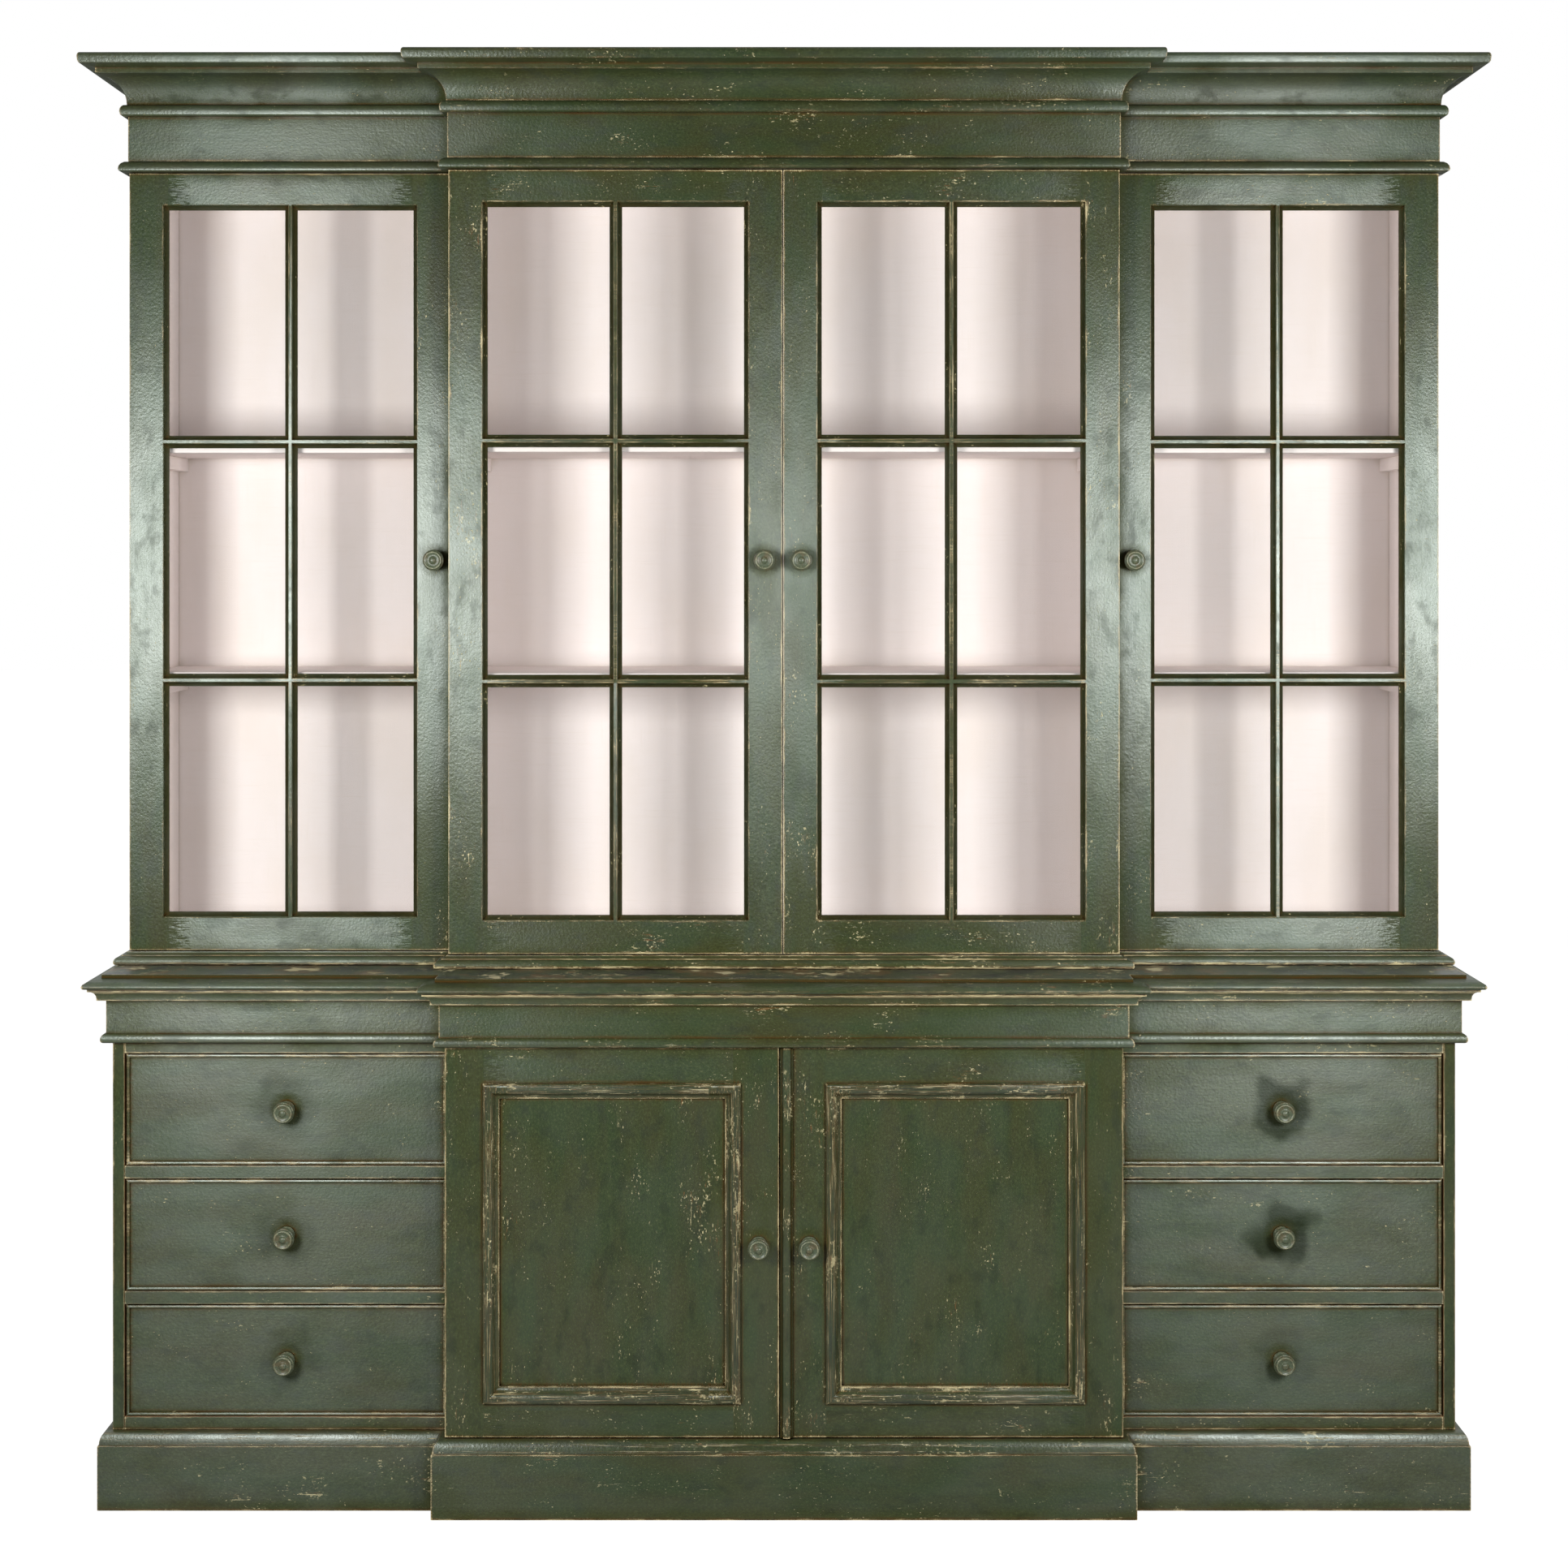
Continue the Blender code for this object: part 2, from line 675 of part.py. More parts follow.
def build_base_uprights():
    """Ends and partitions of the lower case; the partitions carry the cupboard shelf."""
    top = BASE_FRIEZE_Z - SEAT_GAP
    partition_y = LOWER.centre_y + CARCASE_SETBACK
    shelf = LOWER_INSIDE_Z + CUPBOARD_SHELF_HEIGHT
    for side, word in ((-1, "left"), (1, "right")):
        outer = side * LOWER_HALF_WIDTH
        inner = side * (LOWER_HALF_WIDTH - LOWER_SIDE_THICKNESS)
        box(
            f"base_{word}_end",
            (min(outer, inner), LOWER.wing_y, BOTTOM_Z),
            (max(outer, inner), BACK_Y, top),
            GREEN_PAINT,
        )
        outer = side * LOWER_HALF_CENTRE
        inner = side * (LOWER_HALF_CENTRE - LOWER_SIDE_THICKNESS)
        partition = box(
            f"base_{word}_partition",
            (min(outer, inner), partition_y, LOWER_INSIDE_Z + SEAT_GAP),
            (max(outer, inner), BACK_PANEL_Y - SEAT_GAP, top),
            GREEN_PAINT,
        )
        front = partition_y + SHELF_SETBACK + BEARER_SETBACK
        add_bearers(partition, inner, -side, front, (shelf,))


def build_dustboards():
    """Front rails between the drawers, each with the panel behind it that the drawer above runs on."""
    front = LOWER.wing_y
    back = BACK_PANEL_Y - SEAT_GAP
    for side, word in ((-1, "left"), (1, "right")):
        outer = side * (LOWER_HALF_WIDTH - LOWER_SIDE_THICKNESS - SEAT_GAP)
        inner = side * (LOWER_HALF_CENTRE + SEAT_GAP)
        for level, place in ((1, "lower"), (2, "upper")):
            top = LOWER_INSIDE_Z + level * DRAWER_PITCH
            section = [
                (front, top - RAIL_HEIGHT),
                (front + RAIL_DEPTH, top - RAIL_HEIGHT),
                (front + RAIL_DEPTH, top - DUST_PANEL_THICKNESS),
                (back, top - DUST_PANEL_THICKNESS),
                (back, top),
                (front, top),
            ]
            bm = bmesh.new()
            loft(bm, [[(x, y, z) for y, z in section] for x in (outer, inner)])
            solid(f"{word}_dustboard_{place}", bm, GREEN_PAINT)


def build_shelf(name, left_x, right_x, front_y, under_z, finish):
    """A loose shelf with eased front edges, on its bearers."""
    bm = bmesh.new()
    low = (left_x + SEAT_GAP, front_y, under_z)
    high = (right_x - SEAT_GAP, BACK_PANEL_Y - SEAT_GAP, under_z + SHELF_THICKNESS)
    add_box(bm, low, high)
    fronts = [edge for edge in bm.edges if all(vert.co.y < front_y + SHELF_NOSE for vert in edge.verts)]
    level = [edge for edge in fronts if abs(edge.verts[0].co.z - edge.verts[1].co.z) < SHELF_NOSE]
    ease(bm, level, SHELF_NOSE, EASED_EDGE_STEPS)
    return solid(name, bm, finish)


def build_upper_uprights():
    """Ends and partitions of the upper case, with the bearers of its shelves."""
    low = UPPER_INSIDE_Z + SEAT_GAP
    high = UPPER_TOP_Z - SEAT_GAP
    levels = [UPPER_INSIDE_Z + height for height in GLAZED_SHELF_HEIGHTS]
    wing_front = UPPER.wing_y + CARCASE_SETBACK
    centre_front = UPPER.centre_y + CARCASE_SETBACK
    reach_back = SHELF_SETBACK + BEARER_SETBACK
    for side, word in ((-1, "left"), (1, "right")):
        outer = side * UPPER_HALF_WIDTH
        inner = side * (UPPER_HALF_WIDTH - UPPER_SIDE_THICKNESS)
        end = box(
            f"upper_{word}_end",
            (min(outer, inner), wing_front, low),
            (max(outer, inner), BACK_Y, high),
            GREEN_PAINT,
        )
        add_bearers(end, inner, -side, wing_front + reach_back, levels)
        outer = side * UPPER_HALF_CENTRE
        inner = side * (UPPER_HALF_CENTRE - UPPER_SIDE_THICKNESS)
        partition = box(
            f"upper_{word}_partition",
            (min(outer, inner), centre_front, low),
            (max(outer, inner), BACK_PANEL_Y - SEAT_GAP, high),
            GREEN_PAINT,
        )
        add_bearers(partition, outer, side, wing_front + reach_back, levels)
        add_bearers(partition, inner, -side, centre_front + reach_back, levels)


def build_upper_shelves():
    """Two shelves in each glazed bay."""
    wing_front = UPPER.wing_y + CARCASE_SETBACK + SHELF_SETBACK
    centre_front = UPPER.centre_y + CARCASE_SETBACK + SHELF_SETBACK
    end_face = UPPER_HALF_WIDTH - UPPER_SIDE_THICKNESS
    bay_face = UPPER_HALF_CENTRE - UPPER_SIDE_THICKNESS
    for height, place in zip(GLAZED_SHELF_HEIGHTS, ("lower", "upper")):
        under = UPPER_INSIDE_Z + height
        build_shelf(f"left_shelf_{place}", -end_face, -UPPER_HALF_CENTRE, wing_front, under, CREAM_PAINT)
        build_shelf(f"centre_shelf_{place}", -bay_face, bay_face, centre_front, under, CREAM_PAINT)
        build_shelf(f"right_shelf_{place}", UPPER_HALF_CENTRE, end_face, wing_front, under, CREAM_PAINT)


def spans(start, end, count, bar):
    """Equal openings between two lines, with bars between the openings."""
    size = (end - start - (count - 1) * bar) / count
    lines = []
    for k in range(count):
        low = start + k * (size + bar)
        lines += [low, low + size]
    return lines


def lattice(bm, xs, zs, y):
    """A flat sheet of faces on crossing lines, open in every second cell both ways."""
    points = [[bm.verts.new((x, y, z)) for z in zs] for x in xs]
    for i in range(len(xs) - 1):
        for j in range(len(zs) - 1):
            if not (i % 2 and j % 2):
                bm.faces.new((points[i][j], points[i + 1][j], points[i + 1][j + 1], points[i][j + 1]))
    return points


def perimeter(points):
    """The points round the edge of a lattice, in order."""
    bottom = [column[0] for column in points]
    right = points[-1][1:]
    top = [column[-1] for column in reversed(points[:-1])]
    left = list(reversed(points[0][1:-1]))
    return bottom + right + top + left


@dataclass(frozen=True)
class FramePlan:
    """A door frame seen from the front: x runs from the hinge edge, z from the lower edge."""

    width: float
    height: float
    hinge_stile: float
    free_stile: float
    bottom_rail: float
    top_rail: float
    columns: int
    rows: int
    ridge: float
    section: tuple
    rebate: float

    @property
    def seat_depth(self):
        """Depth of the rebate's floor, where the moulding ends."""
        return self.section[-1][1]

    @property
    def moulding_width(self):
        """How far the moulding covers the opening on each side."""
        return self.section[-1][0]

    def opening(self):
        """The opening inside the moulding: low and high x, low and high z."""
        moulding = self.moulding_width
        return (
            self.hinge_stile + moulding,
            self.width - self.free_stile - moulding,
            self.bottom_rail + moulding,
            self.height - self.top_rail - moulding,
        )

    def seat(self):
        """The rebate that the glass or the panel lies in: low and high x, low and high z."""
        x0, x1, z0, z1 = self.opening()
        return x0 - self.rebate, x1 + self.rebate, z0 - self.rebate, z1 + self.rebate


def glazing_section():
    """Front to rebate of a glazing bar or frame edge: an arris, an ovolo and a fillet."""
    start = (BAR_ARRIS, BAR_ARRIS)
    end = (BAR_SLOPE, BAR_DEPTH - BAR_ARRIS)
    return ((0.0, 0.0), start, *bend(start, end, upright_first=True), (BAR_SLOPE, BAR_DEPTH))


def bolection_section():
    """Front to rebate of the cupboard doors' moulding, which stands proud of the frame."""
    ridge = (BOLECTION_ROUND_WIDTH, -BOLECTION_PROUD)
    turn = (BOLECTION_ROUND_WIDTH + BOLECTION_RIDGE_WIDTH, -BOLECTION_PROUD)
    middle = ((turn[0] + BOLECTION_WIDTH) / 2, (BOLECTION_SINK - BOLECTION_PROUD) / 2)
    foot = (BOLECTION_WIDTH, BOLECTION_SINK)
    outside = bend((0.0, -BOLECTION_QUIRK), ridge, upright_first=True, steps=BEAD_STEPS)
    falling = bend(turn, middle, upright_first=False, steps=BEAD_STEPS - 1)
    spreading = bend(middle, foot, upright_first=True, steps=BEAD_STEPS - 1)
    seat = (BOLECTION_WIDTH, PANEL_SEAT_DEPTH)
    return ((0.0, 0.0), (0.0, -BOLECTION_QUIRK), *outside, turn, *falling, *spreading, seat)


def frame_faces(bm, plan):
    """The whole frame: lattice front, moulded openings, rebate and plain outer edges."""
    opening_x = spans(plan.hinge_stile, plan.width - plan.free_stile, plan.columns, plan.ridge)
    opening_z = spans(plan.bottom_rail, plan.height - plan.top_rail, plan.rows, plan.ridge)
    front = lattice(bm, [0.0, *opening_x, plan.width], [0.0, *opening_z, plan.height], 0.0)
    x0, x1, z0, z1 = plan.seat()
    moved = plan.moulding_width
    seat_x = [x + moved * (1 if k % 2 == 0 else -1) for k, x in enumerate(opening_x)]
    seat_z = [z + moved * (1 if k % 2 == 0 else -1) for k, z in enumerate(opening_z)]
    back = lattice(bm, [x0, *seat_x, x1], [z0, *seat_z, z1], plan.seat_depth)
    for i in range(1, len(front) - 1, 2):
        for j in range(1, len(front[0]) - 1, 2):
            corners = [(i, j), (i + 1, j), (i + 1, j + 1), (i, j + 1)]
            loops = [[front[a][b] for a, b in corners]]
            low = front[i][j].co
            high = front[i + 1][j + 1].co
            for inset, depth in plan.section[1:-1]:
                loops.append(new_loop(bm, rectangle(low.x, high.x, low.z, high.z, depth, inset)))
            loops.append([back[a][b] for a, b in corners])
            for near, far in zip(loops, loops[1:]):
                stitch(bm, near, far)
    outer = perimeter(front)
    inner = perimeter(back)
    outer_back = new_loop(bm, [(vert.co.x, DOOR_THICKNESS, vert.co.z) for vert in outer])
    inner_back = new_loop(bm, [(vert.co.x, DOOR_THICKNESS, vert.co.z) for vert in inner])
    stitch(bm, outer, outer_back)
    stitch(bm, outer_back, inner_back)
    stitch(bm, inner_back, inner)


@dataclass(frozen=True)
class Door:
    """Where a door hangs: hand is +1 with the hinge at its left edge, -1 at its right."""

    name: str
    hand: int
    hinge_x: float
    free_x: float
    face_y: float
    low_z: float
    high_z: float

    @property
    def width(self):
        return abs(self.free_x - self.hinge_x)

    @property
    def height(self):
        return self.high_z - self.low_z

    def marker(self):
        """The empty on the hinge line, at the door's lower edge."""
        place = (self.hinge_x + self.hand * PIVOT_INSET, self.face_y + PIVOT_INSET, self.low_z)
        return empty(self.name + "_hinge", place)

    def to_marker(self, point):
        """A point given from the door's lower hinge corner, as the marker sees it."""
        x, y, z = point
        return (self.hand * (x - PIVOT_INSET), y - PIVOT_INSET, z)


def place_on_marker(bm, door):
    """Moves faces made from the door's lower hinge corner into the marker's own space."""
    bmesh.ops.translate(bm, verts=bm.verts, vec=(-PIVOT_INSET, -PIVOT_INSET, 0.0))
    bmesh.ops.scale(bm, verts=bm.verts, vec=(door.hand, 1, 1))


def round_hinge_edge(frame, door):
    """Rounds the back edge about the pivot, so that the door turns clear of the carcase."""
    heel = bend((-PIVOT_INSET, 0.0), (0.0, PIVOT_INSET), upright_first=True, steps=CORNER_STEPS)
    past = PIVOT_INSET + CUT_OVERRUN
    section = [(-PIVOT_INSET, 0.0), *heel, (0.0, past), (-past, past), (-past, 0.0)]
    heights = (-CUT_OVERRUN, door.height + CUT_OVERRUN)
    bm = bmesh.new()
    loft(bm, [[(door.hand * x, y, z) for x, y in section] for z in heights])
    combine(frame, solid("heel_cutter", bm), "DIFFERENCE")


def cut_spigot_hole(body, place):
    """Bores the blind hole for a knob's spigot, in from the surface at the place given."""
    deep = SPIGOT_LENGTH + SPIGOT_CLEARANCE
    x, y, z = place
    bore = cylinder(
        "spigot_bore",
        (x, y + (deep - CUT_OVERRUN) / 2, z),
        SPIGOT_RADIUS + SPIGOT_CLEARANCE,
        deep + CUT_OVERRUN,
        "Y",
        PIN_SIDES,
    )
    combine(body, bore, "DIFFERENCE")


def build_knob(name, place, parent):
    """A turned knob with its spigot: place is on the surface that it stands on."""
    rings = [(SPIGOT_LENGTH, SPIGOT_RADIUS), (-SEAT_GAP, SPIGOT_RADIUS)]
    for out, wide in KNOB_PROFILE_SHARES:
        rings.append((-SEAT_GAP - out * (KNOB_PROJECTION - SEAT_GAP), wide * KNOB_RADIUS))
    bm = bmesh.new()
    x, y, z = place
    loops = []
    for depth, radius in rings:
        angles = [2 * math.pi * (k + 0.5) / KNOB_SIDES for k in range(KNOB_SIDES)]
        ring = [(x + radius * math.cos(a), y + depth, z + radius * math.sin(a)) for a in angles]
        loops.append(ring)
    loft(bm, loops)
    return round_work(solid(name, bm, KNOB_PAINT, parent))


def build_frame(name, door, plan, knob_x, knob_z, marker):
    """A door's frame with its pins and the hole for its knob."""
    bm = bmesh.new()
    frame_faces(bm, plan)
    place_on_marker(bm, door)
    frame = solid(name, bm, GREEN_PAINT, marker)
    round_hinge_edge(frame, door)
    for edge_z, way in ((0.0, -1), (door.height, 1)):
        middle = (0.0, 0.0, edge_z + way * (PIN_LENGTH - CUT_OVERRUN) / 2)
        pin = cylinder("pin", middle, PIN_RADIUS, PIN_LENGTH + CUT_OVERRUN, "Z", PIN_SIDES)
        combine(frame, pin, "UNION")
    cut_spigot_hole(frame, door.to_marker((knob_x, 0.0, knob_z)))
    return frame


def build_sheet(name, door, plan, thickness, finish, marker):
    """The glass or the panel that lies in the frame's rebate."""
    x0, x1, z0, z1 = plan.seat()
    front = plan.seat_depth + SEAT_GAP
    low = (x0 + PANEL_CLEARANCE, front, z0 + PANEL_CLEARANCE)
    high = (x1 - PANEL_CLEARANCE, front + thickness, z1 - PANEL_CLEARANCE)
    bm = bmesh.new()
    add_box(bm, low, high)
    place_on_marker(bm, door)
    return solid(name, bm, finish, marker)


def glazed_doors():
    """The four glazed doors, each with how far its knob stands from its free edge."""
    low = UPPER_INSIDE_Z + DOOR_GAP
    high = UPPER_TOP_Z - DOOR_GAP
    wing_free = UPPER_HALF_CENTRE + DOOR_GAP
    left_free = UPPER_MEETING_X - DOOR_GAP / 2
    right_free = UPPER_MEETING_X + DOOR_GAP / 2
    wing = (UPPER.wing_y, low, high)
    centre = (UPPER.centre_y, low, high)
    return (
        (Door("left_glazed_door", 1, -UPPER_HALF_WIDTH, -wing_free, *wing), WING_GLAZED_KNOB_INSET),
        (
            Door("centre_left_glazed_door", 1, -UPPER_HALF_CENTRE, left_free, *centre),
            CENTRE_GLAZED_KNOB_INSET,
        ),
        (
            Door("centre_right_glazed_door", -1, UPPER_HALF_CENTRE, right_free, *centre),
            CENTRE_GLAZED_KNOB_INSET,
        ),
        (Door("right_glazed_door", -1, UPPER_HALF_WIDTH, wing_free, *wing), WING_GLAZED_KNOB_INSET),
    )


def build_glazed_doors():
    """Moulded frames with glazing bars, one sheet of glass behind each, and a knob."""
    for door, knob_inset in glazed_doors():
        plan = FramePlan(
            door.width,
            door.height,
            GLAZED_STILE,
            GLAZED_STILE,
            GLAZED_BOTTOM_RAIL,
            GLAZED_TOP_RAIL,
            PANE_COLUMNS,
            PANE_ROWS,
            BAR_RIDGE,
            glazing_section(),
            GLASS_REBATE,
        )
        marker = door.marker()
        knob_x = door.width - knob_inset
        build_frame(door.name + "_frame", door, plan, knob_x, GLAZED_KNOB_HEIGHT, marker)
        build_sheet(door.name + "_glass", door, plan, GLASS_THICKNESS, CLEAR_GLASS, marker)
        place = door.to_marker((knob_x, 0.0, GLAZED_KNOB_HEIGHT))
        build_knob(door.name + "_knob", place, marker)


def cupboard_doors():
    """The two cupboard doors, each with the width of its free stile."""
    low = PLINTH_TOP_Z + DOOR_GAP
    high = BASE_FRIEZE_Z - DOOR_GAP
    left_free = LOWER_MEETING_X - DOOR_GAP / 2
    right_free = LOWER_MEETING_X + DOOR_GAP / 2
    place = (LOWER.centre_y, low, high)
    return (
        (Door("left_cupboard_door", 1, -LOWER_HALF_CENTRE, left_free, *place), CUPBOARD_STILE),
        (Door("right_cupboard_door", -1, LOWER_HALF_CENTRE, right_free, *place), CUPBOARD_STRIKE_STILE),
    )


def build_astragal(door, marker):
    """The half-round strip down the meeting edge of the right-hand cupboard door."""
    far = door.width
    near = door.width - ASTRAGAL_WIDTH
    face = -SEAT_GAP
    tip = -ASTRAGAL_PROUD
    middle = (near + far) / 2
    round_half = ASTRAGAL_WIDTH / 2 - ASTRAGAL_FILLET
    shoulder = face - ASTRAGAL_FILLET
    section = [(near, face), (near, shoulder), (middle - round_half, shoulder)]
    section += bend(section[-1], (middle, tip), upright_first=True, steps=BEAD_STEPS)
    section += bend(section[-1], (middle + round_half, shoulder), upright_first=False, steps=BEAD_STEPS)
    section += [(far, shoulder), (far, face)]
    bm = bmesh.new()
    loft(bm, [[(x, y, z) for x, y in section] for z in (0.0, door.height)])
    place_on_marker(bm, door)
    solid("astragal", bm, GREEN_PAINT, marker)


def build_cupboard_doors():
    """Panelled doors with a raised moulding round the panel; the right one carries the astragal."""
    for door, free_stile in cupboard_doors():
        plan = FramePlan(
            door.width,
            door.height,
            CUPBOARD_STILE,
            free_stile,
            CUPBOARD_BOTTOM_RAIL,
            CUPBOARD_TOP_RAIL,
            1,
            1,
            0.0,
            bolection_section(),
            PANEL_REBATE,
        )
        marker = door.marker()
        knob_x = door.width - abs(door.free_x + door.hand * CUPBOARD_KNOB_SPREAD)
        build_frame(door.name + "_frame", door, plan, knob_x, CUPBOARD_KNOB_HEIGHT, marker)
        build_sheet(door.name + "_panel", door, plan, PANEL_THICKNESS, GREEN_PAINT, marker)
        place = door.to_marker((knob_x, 0.0, CUPBOARD_KNOB_HEIGHT))
        build_knob(door.name + "_knob", place, marker)
        if door.hand < 0:
            build_astragal(door, marker)


def drawer_tray(half_width, deep, low, high):
    """The drawer's sides, back and raised bottom, let into the back of its front."""
    floor = low + DRAWER_BOTTOM_RAISE
    joint = DRAWER_FRONT_THICKNESS - CUT_OVERRUN
    outside = (half_width, joint, deep)
    inside = (
        half_width - DRAWER_SIDE_THICKNESS,
        joint + CUT_OVERRUN / 2,
        deep - DRAWER_SIDE_THICKNESS,
    )

    def ring(plan, z):
        wide, near, far = plan
        return [(-wide, near, z), (wide, near, z), (wide, far, z), (-wide, far, z)]

    bm = bmesh.new()
    loft(
        bm,
        [
            ring(inside, floor),
            ring(inside, low),
            ring(outside, low),
            ring(outside, high),
            ring(inside, high),
            ring(inside, floor + DRAWER_BOTTOM_THICKNESS),
        ],
    )
    return solid("tray", bm)


def drawer_front(name, half_width, low, high, parent):
    """The drawer's front with a cock bead standing proud of its face all round."""
    width = COCK_BEAD_WIDTH
    shoulder = COCK_BEAD_PROUD / 2
    middle = (width / 2, 0.0)
    bead = [(0.0, shoulder), *bend((0.0, shoulder), middle, True, SMALL_BEAD_STEPS)]
    bead += bend(middle, (width, shoulder), False, SMALL_BEAD_STEPS)
    section = [(0.0, DRAWER_FRONT_THICKNESS), *bead, (width, COCK_BEAD_PROUD)]
    bm = bmesh.new()
    loft(bm, [rectangle(-half_width, half_width, low, high, y, inset) for inset, y in section])
    return solid(name, bm, GREEN_PAINT, parent)


def build_drawers():
    """Three drawers in each wing, running on the bottom board and the dustboards."""
    half = (LOWER_HALF_WIDTH - LOWER_SIDE_THICKNESS - LOWER_HALF_CENTRE) / 2
    middle = LOWER_HALF_CENTRE + half
    front_half = half - DRAWER_SIDE_GAP
    deep = BACK_PANEL_Y - DRAWER_BACK_GAP - LOWER.wing_y
    for side, word in ((-1, "left"), (1, "right")):
        for level, place in enumerate(("bottom", "middle", "top")):
            floor_z = LOWER_INSIDE_Z + level * DRAWER_PITCH
            marker = empty(f"{word}_drawer_{place}_slide", (side * middle, LOWER.wing_y, floor_z))
            front_low = DRAWER_FRONT_GAP
            front_high = DRAWER_OPENING_HEIGHT - DRAWER_TOP_GAP
            name = f"{word}_drawer_{place}"
            drawer = drawer_front(name, front_half, front_low, front_high, marker)
            tray = drawer_tray(front_half, deep, SEAT_GAP, front_high - DRAWER_SIDE_DROP)
            combine(drawer, tray, "UNION")
            knob_place = (0.0, COCK_BEAD_PROUD, (front_low + front_high) / 2)
            cut_spigot_hole(drawer, knob_place)
            build_knob(name + "_knob", knob_place, marker)


def build_lower_case():
    """Plinth, carcase, frieze and ledge of the lower case."""
    build_plinth()
    build_base_bottom()
    build_base_uprights()
    half_back = LOWER_HALF_WIDTH - LOWER_SIDE_THICKNESS - SEAT_GAP
    build_back("base_back", half_back, LOWER_INSIDE_Z + SEAT_GAP, BASE_FRIEZE_Z - SEAT_GAP, BARE_WOOD)
    build_dustboards()
    shelf_half = LOWER_HALF_CENTRE - LOWER_SIDE_THICKNESS
    shelf_front = LOWER.centre_y + CARCASE_SETBACK + SHELF_SETBACK
    shelf_z = LOWER_INSIDE_Z + CUPBOARD_SHELF_HEIGHT
    build_shelf("cupboard_shelf", -shelf_half, shelf_half, shelf_front, shelf_z, BARE_WOOD)
    build_base_frieze()
    moulded_board("base_top", LOWER, ledge_profile(), LEDGE_Z, GREEN_PAINT)


def build_upper_case():
    """Waist, carcase, shelves, frieze and cornice of the upper case."""
    build_upper_boards()
    build_upper_uprights()
    half_back = UPPER_HALF_WIDTH - UPPER_SIDE_THICKNESS - SEAT_GAP
    build_back("upper_back", half_back, UPPER_INSIDE_Z + SEAT_GAP, UPPER_TOP_Z - SEAT_GAP, CREAM_PAINT)
    build_upper_shelves()
    moulded_frame(
        "upper_frieze", UPPER, upper_frieze_profile(), UPPER_FRIEZE_Z, FRAME_DEPTH, GREEN_PAINT
    )
    moulded_frame("cornice", UPPER, cornice_profile(), CORNICE_Z, CORNICE_FRAME_DEPTH, GREEN_PAINT)


def main():
    """Builds the whole cabinet."""
    clear_scene()
    build_lower_case()
    build_upper_case()
    build_glazed_doors()
    build_cupboard_doors()
    build_drawers()


main()
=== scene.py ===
"""Looks of a breakfront display cabinet in worn green paint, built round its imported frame.

The joinery keeps the shapes of the frame. Each board gets eased arrises, the grain of its
own timber and its paint. The knobs and the tongue of one door are modelled new, and the
dovetails of the drawers are faces of their sides.
"""

import json
import logging
import math
from dataclasses import dataclass
from enum import Enum
from typing import Callable, Iterable

import bpy
from mathutils import Matrix, Vector

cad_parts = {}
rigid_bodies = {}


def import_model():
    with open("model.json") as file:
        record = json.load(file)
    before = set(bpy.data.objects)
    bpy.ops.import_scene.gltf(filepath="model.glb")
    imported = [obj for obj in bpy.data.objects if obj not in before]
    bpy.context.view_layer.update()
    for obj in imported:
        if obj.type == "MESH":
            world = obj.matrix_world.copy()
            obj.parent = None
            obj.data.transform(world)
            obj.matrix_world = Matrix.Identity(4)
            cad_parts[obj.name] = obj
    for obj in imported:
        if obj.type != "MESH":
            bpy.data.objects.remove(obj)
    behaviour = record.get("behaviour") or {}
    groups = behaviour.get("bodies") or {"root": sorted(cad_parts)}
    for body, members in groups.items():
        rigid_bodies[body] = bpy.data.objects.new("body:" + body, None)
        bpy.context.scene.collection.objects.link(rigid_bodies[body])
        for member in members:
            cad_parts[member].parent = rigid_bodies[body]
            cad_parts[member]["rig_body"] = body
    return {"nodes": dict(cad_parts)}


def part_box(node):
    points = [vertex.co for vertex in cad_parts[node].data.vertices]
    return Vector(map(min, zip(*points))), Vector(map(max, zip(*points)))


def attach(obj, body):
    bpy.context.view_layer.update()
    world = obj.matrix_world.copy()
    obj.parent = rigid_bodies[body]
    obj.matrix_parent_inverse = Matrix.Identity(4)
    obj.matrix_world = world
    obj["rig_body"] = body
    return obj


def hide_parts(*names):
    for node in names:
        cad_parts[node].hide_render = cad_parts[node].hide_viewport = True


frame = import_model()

LOG = logging.getLogger("display_cabinet")
MM = 0.001
FACING = 0.5  # a face looks along an axis when this much of its normal does
SQUARE = 0.9  # and squarely so from here on
MEAN_NOISE = 0.1  # what the noises in a roughness add to it on average
# how worn each part of the ledge is; the quirk's negative value gives it painted shade, with wax
LEDGE_WEAR_AND_SHADE = {"flat": 0.55, "quirk": -0.85, "thumb": 0.7, "foot": 0.6, "body": 0.25}
SIDES = ("left", "right")


def linear(hex_colour: str) -> tuple[float, float, float, float]:
    """Turns an sRGB hex colour into linear red, green and blue, and an alpha of one."""
    digits = hex_colour.lstrip("#")
    channels = [int(digits[k : k + 2], 16) / 255 for k in (0, 2, 4)]
    values = [c / 12.92 if c <= 0.04045 else ((c + 0.055) / 1.055) ** 2.4 for c in channels]
    return (*values, 1.0)


class Grain(Enum):
    """Which way a board's grain and its brush strokes run."""

    LEVEL = 0.0
    UPRIGHT = 1.0


class Coat(Enum):
    """What a face of the joinery is finished with, by the name of its slot."""

    GREEN = "green_paint"
    CREAM = "cream_paint"
    BARE = "bare_wood"


class Ease(Enum):
    """How round the arrises of a piece are, in millimetres."""

    BOARD = 0.7
    MOULDING = 0.5
    THIN = 0.4


@dataclass(frozen=True)
class Surface:
    """What one face gets: its coat, the way of its grain and the board that it belongs to."""

    coat: Coat
    grain: Grain
    board: int = 0
    # how rubbed the face is; below zero it is sheltered, and green paint there wears less and gets painted
    # shade
    rubbed: float = 0.0


FaceRule = Callable[[Vector, Vector], Surface]
Socket = bpy.types.NodeSocket


